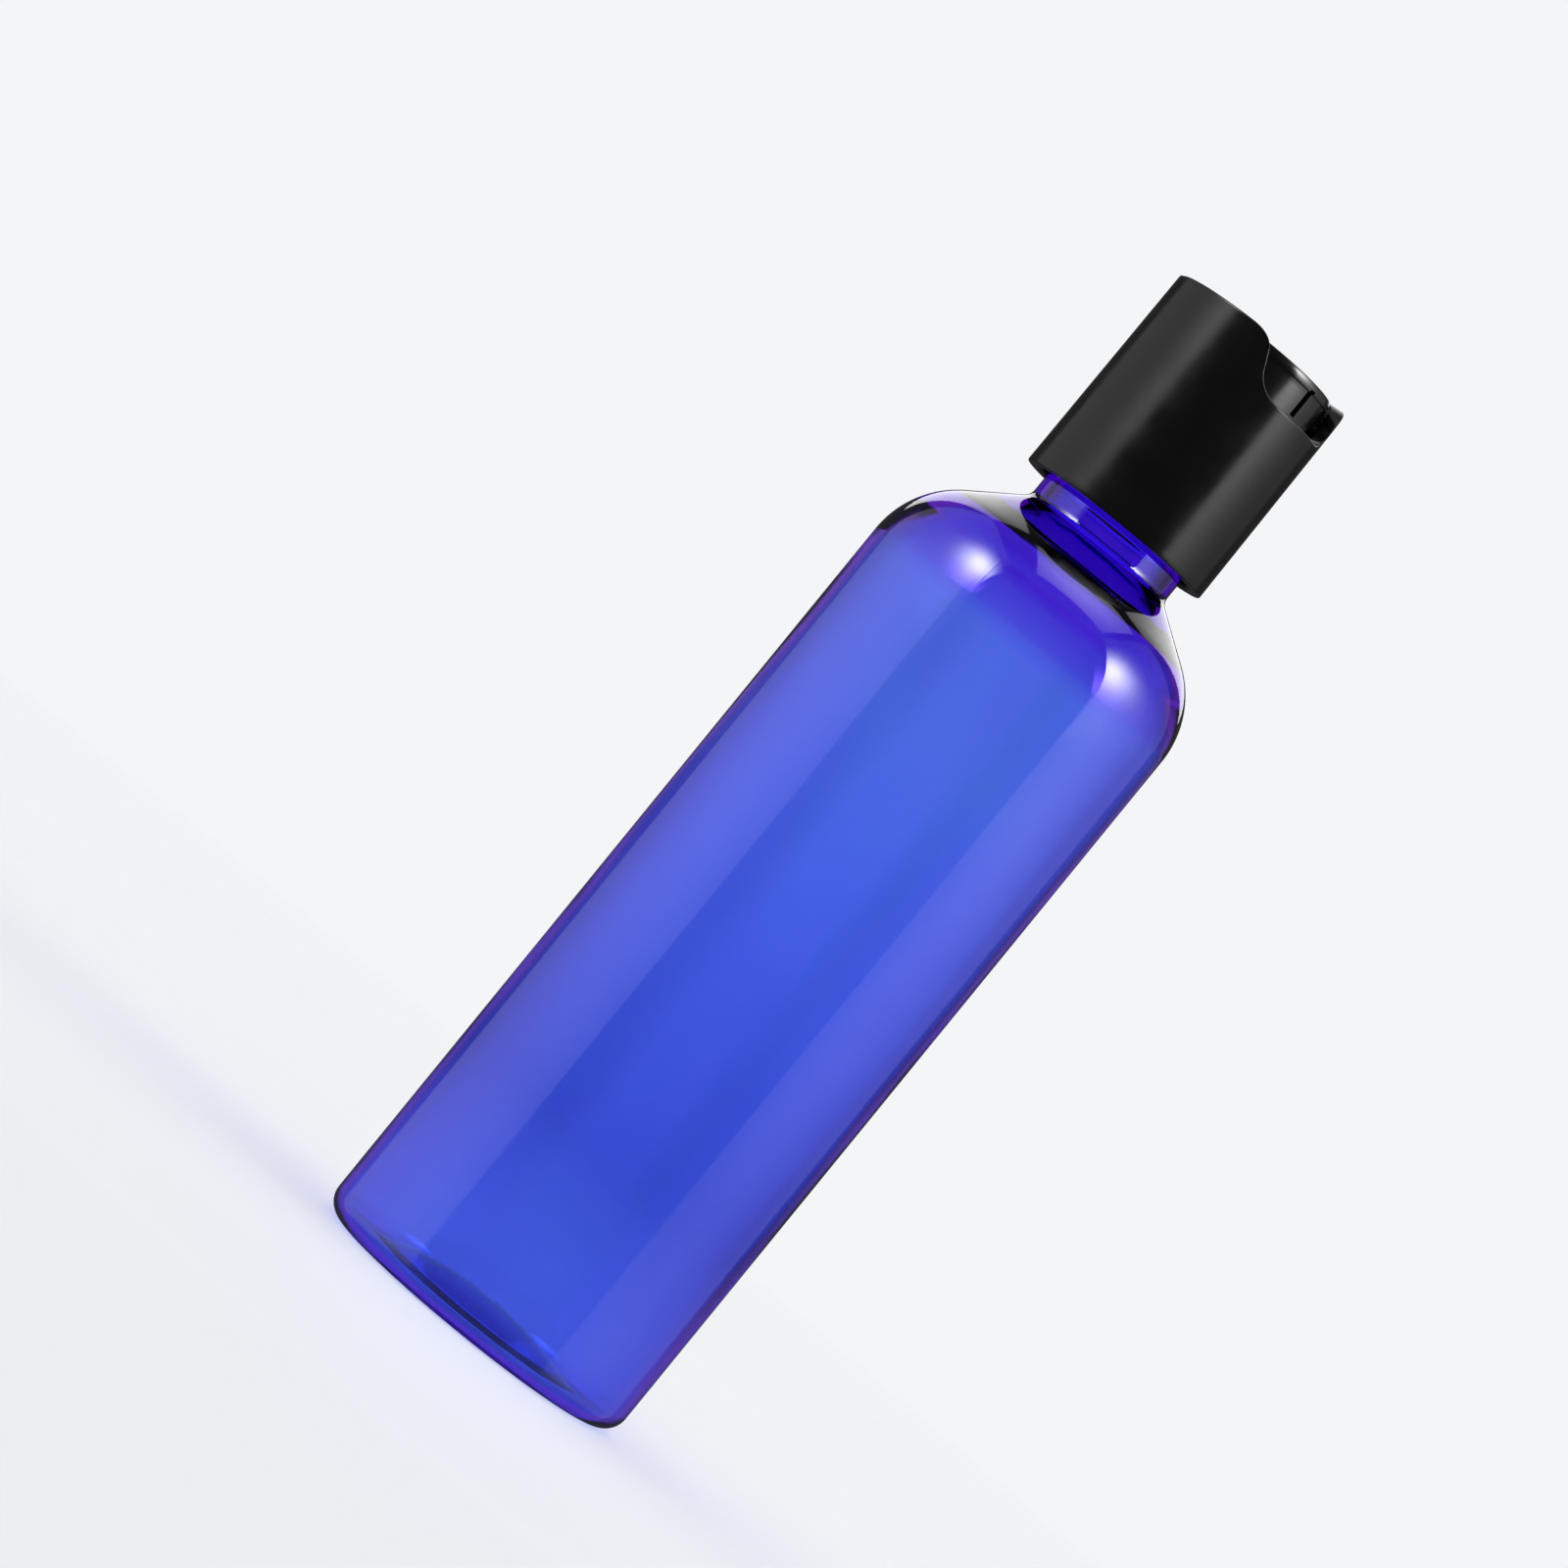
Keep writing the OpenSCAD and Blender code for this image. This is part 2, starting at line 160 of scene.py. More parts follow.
# %% The inside of the shoulder
ROOT_WALL, THICK_R, STEP_SLOPE, THICKER = 2.05, 11.4, 20.0, 0.55


def under_slope(r):
    """A point on the thick root's inner face, under the slope's outer face."""
    angle = math.radians(SLOPE)
    return [r, FOOT_Z - ROOT_WALL / math.cos(angle) - (r - NECK_R) * math.tan(angle)]


def inner_arc(angle):
    """A point of the shoulder's inner face. From 0 up to 30 degrees its wall gets thicker."""
    thicker = THICKER * min(1, 2 * math.sin(math.radians(angle)))
    return on_arc(SHOULDER_R - WALL - thicker, angle)


root_in, root_out = under_slope(BORE_R), under_slope(THICK_R)
step = np.array([math.cos(math.radians(STEP_SLOPE)), -math.sin(math.radians(STEP_SLOPE))])
to_arc = np.array(root_out) - [ARC_X, ARC_Z]
thin_r = SHOULDER_R - WALL - THICKER
reach = -to_arc @ step + math.sqrt((to_arc @ step) ** 2 - to_arc @ to_arc + thin_r**2)
thin_start = list(np.array(root_out) + reach * step)
thin_angle = math.degrees(math.atan2(thin_start[1] - ARC_Z, thin_start[0] - ARC_X))
print(f"the step is {reach:.1f} long and meets the curve at {thin_angle:.0f} degrees")

# %% [markdown]
# The outline starts on the axis under the base, runs out over the standing ring and the heel,
# up the body, over the shoulder to the neck and its lip, and comes back down the inside to the
# axis. The hollow fillet where the shoulder meets the neck catches two small lights, so it is
# shaped, not painted. The points on the threaded stretch stand close together, because the
# thread is raised from them.

# %% The bottle's outline
slope_end = on_arc(SHOULDER_R, ARC_END)
ring_in = math.sqrt(PUSH_UP_R**2 - (STEP_Z - PUSH_UP_Z) ** 2)
inner_ring = math.sqrt(DOME_R**2 - (FLOOR_Z - PUSH_UP_Z) ** 2)
wall_r, inner_heel = BODY_R - WALL, HEEL_R - WALL
outside = [
    GATE_MARK,
    [dome(PUSH_UP_R, r) for r in np.linspace(1.2, ring_in - 0.4, 22)],
    fillet([ring_in, STEP_Z], dome(PUSH_UP_R, ring_in - 1), [STAND_R, STEP_Z], 0.35, 5),
    fillet([STAND_R, STEP_Z], [ring_in, STEP_Z], [STAND_R, 0], 0.12, 4),
    fillet([STAND_R, 0], [STAND_R, STEP_Z], [BODY_R, 0], 0.12, 4),
    rounded([BODY_R - HEEL_R, HEEL_R], HEEL_R, -90, 0, 16),
    straight([BODY_R, HEEL_R], [BODY_R, ARC_Z], 24),
    rounded([ARC_X, ARC_Z], SHOULDER_R, 0, ARC_END, 26),
    straight(slope_end, [NECK_R + 0.8, FOOT_Z - 0.8 * math.tan(math.radians(SLOPE))], 8),
    fillet([NECK_R, FOOT_Z], slope_end, [NECK_R, SKIRT_Z], 0.75, 12),
    straight([NECK_R, FOOT_Z + 0.9], [NECK_R, SKIRT_Z], 3),
    straight([NECK_R, SKIRT_Z], [FINISH_R, SKIRT_Z + 0.5], 3),
    straight([FINISH_R, SKIRT_Z + 0.5], [FINISH_R, THREAD_LOW], 4),
    straight([FINISH_R, THREAD_LOW], [FINISH_R, THREAD_HIGH],
             round((THREAD_HIGH - THREAD_LOW) / THREAD_STEP)),
    fillet([FINISH_R, LIP_Z], [FINISH_R, THREAD_LOW], [BORE_R, LIP_Z], 0.35, 6),
]
inside = [
    fillet([BORE_R, LIP_Z], [FINISH_R, LIP_Z], [BORE_R, FOOT_Z], 0.25, 5),
    straight([BORE_R, LIP_Z - 0.6], [BORE_R, root_in[1] + 0.6], 8),
    fillet(root_in, [BORE_R, LIP_Z], root_out, 0.5, 6),
    straight(root_in, root_out, 10)[1:-1],
    fillet(root_out, root_in, thin_start, 0.5, 8),
    fillet(thin_start, root_out, inner_arc(thin_angle - 3), 0.5, 8),
    [inner_arc(angle) for angle in np.linspace(thin_angle - 3, 0, 30)],
    straight([wall_r, ARC_Z], [wall_r, FLOOR_Z + inner_heel], 40),
    rounded([wall_r - inner_heel, FLOOR_Z + inner_heel], inner_heel, 0, -90, 14),
    fillet([inner_ring, FLOOR_Z], [wall_r - inner_heel, FLOOR_Z],
           dome(DOME_R, inner_ring - 1), 0.5, 5),
    [dome(DOME_R, r) for r in np.linspace(inner_ring - 0.8, 0, 22)],
]
bottle_outline = outline(*outside, *inside)
inside_share = np.zeros(len(bottle_outline))
inside_share[-sum(len(s) for s in inside):] = 1

# %% [markdown]
# ## Formulas in node trees
#
# Two Geometry Nodes trees shape the turned pieces. Their formulas would be hard to read as
# rows of Math nodes, so a small helper lets Python's own + - * / write those nodes. A Wire is
# one number that flows through the tree.

# %% A helper that writes Math nodes
class Wire:
    """A number in a node tree. Sums and products of Wires become Math nodes."""

    def __init__(self, tree, socket):
        self.tree, self.socket = tree, socket

    def math(self, operation, *others):
        node = self.tree.nodes.new("ShaderNodeMath")
        node.operation = operation
        for place, value in zip(node.inputs, (self, *others)):
            plug(self.tree, place, value)
        return Wire(self.tree, node.outputs[0])

    def __add__(self, other):
        return self.math("ADD", other)

    def __sub__(self, other):
        return self.math("SUBTRACT", other)

    def __mul__(self, other):
        return self.math("MULTIPLY", other)

    def __truediv__(self, other):
        return self.math("DIVIDE", other)


def plug(tree, place, value):
    """Feeds a socket from a Wire, from another socket, or with a plain value."""
    if isinstance(value, Wire):
        value = value.socket
    if isinstance(value, bpy.types.NodeSocket):
        tree.links.new(value, place)
    else:
        place.default_value = value


def add_node(tree, kind, settings=None, **feeds):
    """A node with its settings made and its named inputs fed."""
    node = tree.nodes.new(kind)
    for name, value in (settings or {}).items():
        setattr(node, name, value)
    for name, value in feeds.items():
        plug(tree, node.inputs[name.replace("_", " ")], value)
    return node


def new_tree(name, inputs):
    """A Geometry Nodes tree with named inputs, given as name: (socket type, default)."""
    tree = bpy.data.node_groups.new(name, "GeometryNodeTree")
    tree.interface.new_socket("Wall", in_out="OUTPUT", socket_type="NodeSocketGeometry")
    for label, (kind, default) in inputs.items():
        socket = tree.interface.new_socket(label, in_out="INPUT", socket_type="NodeSocket" + kind)
        if default is not None:
            socket.default_value = default
    start = tree.nodes.new("NodeGroupInput")
    wires = {s.name: Wire(tree, s) for s in start.outputs if s.name}
    return tree, wires


def end_tree(tree, geometry, material):
    """Every tree ends alike: smooth faces, nothing left as an instance, one material."""
    smooth = add_node(tree, "GeometryNodeSetShadeSmooth", Geometry=geometry)
    real = add_node(tree, "GeometryNodeRealizeInstances", Geometry=smooth.outputs[0])
    done = add_node(tree, "GeometryNodeSetMaterial", Geometry=real.outputs[0], Material=material)
    end = tree.nodes.new("NodeGroupOutput")
    tree.links.new(done.outputs[0], end.inputs[0])


print("node helpers ready")

# %% [markdown]
# ### The turning tree
#
# This tree does what a lathe does. It reads the outline's points in order, makes a grid with
# one column for each step round the axis, and moves every point of the grid to its radius and
# angle. Where the outline starts and ends on the axis the points merge into a closed pole, and
# the first and last columns merge into a closed seam. "Ripple" adds the slow unevenness that a
# blown wall has on its inside, which bends what is seen through it.

# %% Build the turning tree
MERGE_M = 2e-7


def build_turning():
    tree, given = new_tree("Turning", {
        "Outline": ("Geometry", None),
        "Steps round": ("Int", 96),
        "Ripple": ("Float", 0.0),
        "Ripple seed": ("Float", 3.0),
        "Finish": ("Material", None),
    })
    size = add_node(tree, "GeometryNodeAttributeDomainSize", Geometry=given["Outline"])
    rows = Wire(tree, size.outputs["Point Count"])
    steps = given["Steps round"]
    grid = add_node(tree, "GeometryNodeMeshGrid", Vertices_X=steps + 1, Vertices_Y=rows)
    index = Wire(tree, tree.nodes.new("GeometryNodeInputIndex").outputs[0])
    column = (index / rows + 1e-5).math("FLOOR")
    row = index - column * rows
    here = add_node(tree, "GeometryNodeSampleIndex", {"data_type": "FLOAT_VECTOR"},
                    Geometry=given["Outline"], Index=row,
                    Value=tree.nodes.new("GeometryNodeInputPosition").outputs[0])
    place = add_node(tree, "ShaderNodeSeparateXYZ", Vector=here.outputs[0])
    radius, height = Wire(tree, place.outputs["X"]), Wire(tree, place.outputs["Z"])
    share = add_node(tree, "GeometryNodeInputNamedAttribute", {"data_type": "FLOAT"}, Name="inside")
    inside = add_node(tree, "GeometryNodeSampleIndex", {"data_type": "FLOAT"},
                      Geometry=given["Outline"], Index=row, Value=share.outputs[0])
    angle = column * (2 * math.pi) / steps
    across, along = angle.math("COSINE"), angle.math("SINE")
    spot = add_node(tree, "ShaderNodeCombineXYZ", X=across, Y=along, Z=height * 22)
    noise = add_node(tree, "ShaderNodeTexNoise", {"noise_dimensions": "4D"},
                     Vector=spot.outputs[0], W=given["Ripple seed"], Scale=2.2, Detail=1.0)
    sway = (Wire(tree, noise.outputs[0]) - 0.5) * given["Ripple"] * Wire(tree, inside.outputs[0])
    reach = radius + sway * (radius * 200).math("MINIMUM", 1)
    to = add_node(tree, "ShaderNodeCombineXYZ", X=reach * across, Y=reach * along, Z=height)
    moved = add_node(tree, "GeometryNodeSetPosition", Geometry=grid.outputs["Mesh"],
                     Position=to.outputs[0])
    merged = add_node(tree, "GeometryNodeMergeByDistance", Geometry=moved.outputs[0],
                      Distance=MERGE_M)
    end_tree(tree, merged.outputs[0], given["Finish"])
    return tree


TURNING = build_turning()
print("turning tree:", len(TURNING.nodes), "nodes")

# %% [markdown]
# ### The screw ridge tree
#
# The bottle's neck and the inside of the cap carry the same kind of thread: a ridge that
# climbs once and a half round the wall and runs out softly at both ends. The tree moves the
# points of a plain round wall. For each point it finds the nearest turn of the ridge, measures
# how far above or below its middle the point lies, and pushes it out, or in where the height
# is negative, by the ridge's cross-section.

# %% Build the screw ridge tree
def build_ridge():
    tree, given = new_tree("Screw ridge", {
        "Wall": ("Geometry", None),
        "Wall radius": ("Float", 0.01),
        "Ridge height": ("Float", 0.001),
        "Start height": ("Float", 0.1),
        "Pitch": ("Float", 0.003),
        "Turns": ("Float", 1.5),
        "Start angle": ("Float", 0.4),
        "Root width": ("Float", 0.0015),
        "Crest width": ("Float", 0.0007),
        "Run-out": ("Float", 0.125),
        "Finish": ("Material", None),
    })
    position = tree.nodes.new("GeometryNodeInputPosition").outputs[0]
    place = add_node(tree, "ShaderNodeSeparateXYZ", Vector=position)
    x, y, z = (Wire(tree, place.outputs[i]) for i in range(3))
    radius = (x * x + y * y).math("SQRT")
    on_wall = (radius - given["Wall radius"]).math("ABSOLUTE").math("LESS_THAN", 2e-5)
    turn = ((y.math("ARCTAN2", x) - given["Start angle"]) / (2 * math.pi)).math("FRACT")
    climbed = (z - given["Start height"]) / given["Pitch"]
    travelled = turn + (climbed - turn).math("ROUND")
    off_middle = ((climbed - travelled) * given["Pitch"]).math("ABSOLUTE")
    to_end = travelled.math("MINIMUM", given["Turns"] - travelled) / given["Run-out"]
    size = to_end.math("MAXIMUM", 0).math("MINIMUM", 1).math("POWER", 0.7)
    half_root = given["Root width"] * size / 2
    flank = (given["Root width"] - given["Crest width"]) * size / 2 + 1e-7
    rise = ((half_root - off_middle) / flank).math("MAXIMUM", 0).math("MINIMUM", 1)
    soft = rise * rise * (rise * -2 + 3)
    push = given["Ridge height"] * size * soft * on_wall
    grown = (radius + push) / radius.math("MAXIMUM", 1e-6)
    to = add_node(tree, "ShaderNodeCombineXYZ", X=x * grown, Y=y * grown, Z=z)
    moved = add_node(tree, "GeometryNodeSetPosition", Geometry=given["Wall"],
                     Position=to.outputs[0])
    end_tree(tree, moved.outputs[0], given["Finish"])
    return tree


RIDGE = build_ridge()
print("screw ridge tree:", len(RIDGE.nodes), "nodes")

# %% [markdown]
# ### Running a tree
#
# A tree is run by a modifier. Its inputs are set by the identifiers that Blender gave the
# sockets, the object is evaluated once, and the result is kept as a plain mesh, so that no live
# modifier is left on a piece.

# %% Helpers that make objects
def show(mesh, name):
    """A mesh as an object in the scene."""
    made = bpy.data.objects.new(name, mesh)
    bpy.context.scene.collection.objects.link(made)
    return made


def settle(made):
    """Replaces an object's mesh by what its modifiers make of it, and removes them."""
    bpy.context.view_layer.update()
    evaluated = made.evaluated_get(bpy.context.evaluated_depsgraph_get())
    mesh = bpy.data.meshes.new_from_object(evaluated)
    made.modifiers.clear()
    made.data = mesh
    mesh.name = made.name
    return made


def run_tree(made, tree, **values):
    """Runs a tree on an object. Values are given by the inputs' names, with _ for a space."""
    step = made.modifiers.new(tree.name, "NODES")
    step.node_group = tree
    for item in tree.interface.items_tree:
        label = item.name.replace(" ", "_").replace("-", "_")
        if item.in_out == "INPUT" and label in values:
            step[item.identifier] = values[label]
    settle(made)
    print(f"{made.name}: {tree.name} made {len(made.data.polygons)} faces")
    return made


def outline_object(name, points, inside=None):
    """An outline as a chain of points in the XZ plane, which the turning tree reads."""
    mesh = bpy.data.meshes.new(name)
    count = len(points)
    links = [(i, i + 1) for i in range(count - 1)]
    mesh.from_pydata([(r * MM, 0, z * MM) for r, z in points], links, [])
    share = mesh.attributes.new("inside", "FLOAT", "POINT")
    share.data.foreach_set("value", np.zeros(count) if inside is None else inside)
    return show(mesh, name)


def crease(made, degrees):
    """Smooth faces, with a crisp edge wherever two faces meet at more than this angle."""
    made.data.shade_smooth()
    made.data.set_sharp_from_angle(angle=math.radians(degrees))
    return made


print("object helpers ready")

# %% [markdown]
# ## Finishes
#
# Every finish is worked out by nodes from the object's own coordinates, so it stays on the
# piece when the piece moves, and no image is needed. Small helpers write what the finishes
# share: noise of a given size, a range for it, a blend of two colours, and bumps.

# %% Helpers for finishes
def new_finish(name):
    """A material, its tree, its main shader, and the object's own coordinates."""
    finish = bpy.data.materials.new(name)
    finish.use_nodes = True
    tree = finish.node_tree
    spot = tree.nodes.new("ShaderNodeTexCoord").outputs["Object"]
    return finish, tree, tree.nodes["Principled BSDF"], spot


def cloud(tree, spot, size_mm, detail=2.0, stretch=1.0):
    """Noise whose lumps are about size_mm wide, and stretch times as tall."""
    shaped = add_node(tree, "ShaderNodeMapping", Vector=spot, Scale=(1, 1, 1 / stretch))
    noise = add_node(tree, "ShaderNodeTexNoise", Vector=shaped.outputs[0],
                     Scale=1 / (size_mm * MM), Detail=detail)
    return Wire(tree, noise.outputs[0])


def spread(tree, value, low, high, start=0.3, stop=0.7):
    """Turns a value from start to stop into one from low to high. The defaults suit noise."""
    node = add_node(tree, "ShaderNodeMapRange", Value=value, From_Min=start, From_Max=stop,
                    To_Min=low, To_Max=high)
    return Wire(tree, node.outputs[0])


def blend_colours(tree, value, first, second):
    """The first colour where the value is 0, and the second where it is 1."""
    node = add_node(tree, "ShaderNodeMix", {"data_type": "RGBA"})
    plug(tree, node.inputs[0], value)
    node.inputs[6].default_value, node.inputs[7].default_value = (*first, 1), (*second, 1)
    return node.outputs[2]


def relief(tree, skin, *layers):
    """Bumps in a row on one shader. Each layer is a height from 0 to 1 and its depth in mm."""
    normal = None
    for height, depth_mm in layers:
        bump = add_node(tree, "ShaderNodeBump", Height=height, Distance=depth_mm * MM,
                        Strength=1.0)
        if normal is not None:
            tree.links.new(normal, bump.inputs["Normal"])
        normal = bump.outputs[0]
    tree.links.new(normal, skin.inputs["Normal"])


print("finish helpers ready")

# %% [markdown]
# The bottle is clear plastic coloured through. Light that crosses its wall loses red and green
# on the way, so thick places such as the neck and the edges look deeper and more violet than
# the middle. A tint on the surface alone could not do that, so a volume inside the wall
# absorbs along the light's real path as well. A slow waviness bends the reflections as a blown
# surface does, and a fine line marks where the two halves of the mould met.

# %% Clear blue plastic
BLUE_IOR, SEAM_FROM_FRONT, SEAM_HALF = 1.57, -70, 0.16
DEPTH_COLOUR, DEPTH_DENSITY = (0.76, 0.0, 0.88, 1), 1230.0


def blue_plastic():
    finish, tree, skin, spot = new_finish("clear_blue_plastic")
    skin.inputs["Transmission Weight"].default_value = 1.0
    skin.inputs["IOR"].default_value = BLUE_IOR
    tint = blend_colours(tree, cloud(tree, spot, 9, stretch=3), (0.285, 0.8, 1.0),
                         (0.295, 0.82, 1.0))
    plug(tree, skin.inputs["Base Color"], tint)
    plug(tree, skin.inputs["Roughness"], spread(tree, cloud(tree, spot, 0.6, 3), 0.02, 0.06))
    a = math.radians(SEAM_FROM_FRONT)
    dot = add_node(tree, "ShaderNodeVectorMath", {"operation": "DOT_PRODUCT"}, Vector=spot)
    dot.inputs[1].default_value = (math.cos(a), math.sin(a), 0)
    off_seam = Wire(tree, dot.outputs["Value"]).math("ABSOLUTE")
    seam = spread(tree, off_seam, 1, 0, 0, SEAM_HALF * MM)
    relief(tree, skin, (cloud(tree, spot, 7, 1, stretch=6), 0.04), (seam, 0.003))
    depth = add_node(tree, "ShaderNodeVolumeAbsorption", Color=DEPTH_COLOUR,
                     Density=DEPTH_DENSITY)
    tree.links.new(depth.outputs[0], tree.nodes["Material Output"].inputs["Volume"])
    return finish


BLUE = blue_plastic()
print("finish:", BLUE.name)

# %% [markdown]
# The cap and the disc are black moulded plastic. It is neither matt nor mirror-like: its skin
# scatters a reflection a little, and unevenly, because the plastic cooled unevenly in the
# mould. A very fine grain breaks the highlights, and the larger clouds make soft patches in
# the long reflections of the lights. The disc comes from another mould and mirrors more than
# the cap, so the two share a function that takes the differences. The sealing ring is white
# foam with small closed cells. Its colour is painted darker in the hollow of each cell and
# lighter on the cell walls: a painted shade that follows the same heights as its bumps.

# %% Black plastic and white foam
BLACK_IOR, UNEVEN, GRAIN, CELL = 1.49, 0.09, 0.05, 0.22


def black_plastic(name, shade, dull, shine):
    """shade is the plastic's own colour, dull its least roughness, and shine its mirroring."""
    finish, tree, skin, spot = new_finish(name)
    base = blend_colours(tree, cloud(tree, spot, 5, 3), (shade, shade, shade),
                         (shade * 1.5, shade * 1.5, shade * 1.55))
    plug(tree, skin.inputs["Base Color"], base)
    skin.inputs["IOR"].default_value = BLACK_IOR
    skin.inputs["Specular IOR Level"].default_value = shine
    rough = spread(tree, cloud(tree, spot, 3.5, 2), dull, dull + UNEVEN)
    grain = spread(tree, cloud(tree, spot, 0.12, 2), 0, GRAIN)
    plug(tree, skin.inputs["Roughness"], rough + grain)
    relief(tree, skin, (cloud(tree, spot, 4.5, 1.5), 0.02), (cloud(tree, spot, 0.2, 2), 0.0007))
    return finish


def white_foam():
    finish, tree, skin, spot = new_finish("white_foam")
    cells = add_node(tree, "ShaderNodeTexVoronoi", Vector=spot, Scale=1 / (CELL * MM))
    depth = Wire(tree, cells.outputs["Distance"])
    # Painted shade: the hollow of each cell is coloured darker than its walls, by the same heights
    # that make the bumps.
    base = blend_colours(tree, depth, (0.72, 0.72, 0.7), (0.84, 0.84, 0.82))
    plug(tree, skin.inputs["Base Color"], base)
    plug(tree, skin.inputs["Roughness"], spread(tree, cloud(tree, spot, 1.2), 0.62, 0.8))
    relief(tree, skin, (depth, 0.04))
    return finish


CAP_BLACK = black_plastic("black_cap_plastic", 0.0045, 0.14, 0.36)
DISC_BLACK = black_plastic("black_disc_plastic", 0.005, 0.14, 0.7)
FOAM = white_foam()
print("finishes:", CAP_BLACK.name, DISC_BLACK.name, FOAM.name)

# %% [markdown]
# ## The bottle
#
# The real bottle is blown from a moulded blank, whose threaded neck stays as it was. Here two
# trees run one after the other on the outline: the turning tree makes the whole wall, inside
# and out, in one closed piece, and the ridge tree raises the thread on the neck. A Screw
# modifier could turn the wall too, but it can't make the inside uneven.

# %% Turn the bottle and raise its thread
PITCH, TURNS, THREAD_START, THREAD_DROP = 3.175, 1.5, 25.0, 2.6
ROOT_W, CREST_W, RUN_OUT, NECK_RIDGE = 1.5, 0.7, 45 / 360, 1.05
RIPPLE, RIPPLE_SEED = 0.18, 4.0
NECK_THREAD_Z = LIP_Z - THREAD_DROP - TURNS * PITCH


def raise_thread(made, wall_r, height, start_z, finish):
    """Runs the ridge tree with the thread's own sizes. Lengths are given in mm."""
    return run_tree(made, RIDGE, Wall_radius=wall_r * MM, Ridge_height=height * MM,
                    Start_height=start_z * MM, Pitch=PITCH * MM, Turns=TURNS,
                    Start_angle=math.radians(THREAD_START), Root_width=ROOT_W * MM,
                    Crest_width=CREST_W * MM, Run_out=RUN_OUT, Finish=finish)


bottle = outline_object("blown_bottle", bottle_outline, inside_share)
run_tree(bottle, TURNING, Steps_round=192, Ripple=RIPPLE * MM, Ripple_seed=RIPPLE_SEED,
         Finish=BLUE)
raise_thread(bottle, FINISH_R, NECK_RIDGE, NECK_THREAD_Z, BLUE)

# %% [markdown]
# ## The sealing ring
#
# A thin foam ring lies in the roof of the cap and is squeezed on the lip of the neck. It could
# be two cylinders, one cut from the other, but turned from an outline that closes on itself it
# gets its soft edges at once.

# %% Turn the sealing ring
LINER_IN_R, SOFT = 6.0, 0.18
low, high = LINER_Z, DECK_Z
ring = [[LINER_IN_R, low], [LINER_R, low], [LINER_R, high], [LINER_IN_R, high]]
corners = [fillet(ring[i], ring[i - 1], ring[(i + 1) % 4], SOFT, 4) for i in range(4)]
liner = outline_object("foam_liner", outline(*corners, corners[0][:1]))
run_tree(liner, TURNING, Steps_round=160, Finish=FOAM)

# %% [markdown]
# ## The cap
#
# The cap is turned as well, but its rim dips at the front into a notch, and its round seat for
# the disc's ball is cut off at a slant. Cutting such shapes out of a finished mesh leaves
# ragged triangles beside the very edge that catches the light. So the cap is laid out as a grid
# instead: one column for each direction round the axis, and rows that follow the rim. Columns
# stand closer together at the steep sides of the notch.
#
# First the notch seen from the front: a flat floor, a round corner, a leaning side and a soft
# shoulder at the rim. It runs straight back through the rim, so its height depends only on how
# far to the side a point lies.

# %% The notch's outline as a height
NOTCH_FLOOR_Z, NOTCH_HALF, CORNER_R, NOTCH_LEAN, RIM_SOFT_R = RIM_Z - 5.3, 4.4, 3.0, 20.0, 2.0
lean = math.radians(NOTCH_LEAN)
side_x = NOTCH_HALF + CORNER_R * math.cos(lean)
side_z = NOTCH_FLOOR_Z + CORNER_R * (1 - math.sin(lean))
soft_z = RIM_Z - RIM_SOFT_R
soft_x = side_x + (soft_z - side_z) * math.tan(lean) + RIM_SOFT_R / math.cos(lean)
bend_x = soft_x - RIM_SOFT_R * math.cos(lean)


def notch_height(x):
    """Height of the rim's top at a distance x from the middle of the notch."""
    x = np.abs(x)
    corner = np.sqrt(np.maximum(CORNER_R**2 - np.clip(x - NOTCH_HALF, 0, None) ** 2, 0))
    corner = NOTCH_FLOOR_Z + CORNER_R - corner
    side = side_z + (x - side_x) / math.tan(lean)
    top = soft_z + np.sqrt(np.maximum(RIM_SOFT_R**2 - np.clip(soft_x - x, 0, RIM_SOFT_R) ** 2, 0))
    return np.where(x < side_x, corner, np.where(x < bend_x, side, top))


print("rim height from the middle of the notch outwards:",
      [round(float(notch_height(x)), 2) for x in (0, 4.4, 6, 7.2, 7.9, 8.5, 9.8, 11)])

# %% [markdown]
# The rim has two edges, one outside and one at the well. Each is a path on a round wall. Rows
# near it are the same path moved square to itself, first by the size of the soft edge and then
# further, until they relax into level rings below the notch. Between the two edges the rows
# lie on the top of the rim.

# %% Columns and the rows next to the rim's edges
half_turn = np.concatenate([np.arange(0, 30, 1.5), np.arange(30, 80, 0.65),
                            np.arange(80, 180, 2.0)])
turn = np.radians(np.concatenate([-half_turn[:0:-1], half_turn, [180.0]]))
CAP_DRAFT, DRAFT_END, WELL_R, DECK = 0.2, 0.4, 10.1, 1.2
OUTER_SOFT, INNER_SOFT, SOFT_STEPS, BELOW_EDGE = 0.2, 0.12, 7, (0.9, 0.55, 0.3, 0.12)
RIM_R, DECK_TOP_Z = CAP_R - CAP_DRAFT, DECK_Z + DECK
in_front = np.cos(turn) > 0


def rim_height(x):
    """Height of the rim's top in each column, at a distance x to the side."""
    return np.where(in_front, notch_height(x), RIM_Z)


def outer_radius(z):
    """The cap gets slightly narrower towards its top."""
    return CAP_R - CAP_DRAFT * np.clip((z - SKIRT_Z) / (RIM_Z - DRAFT_END - SKIRT_Z), 0, 1)


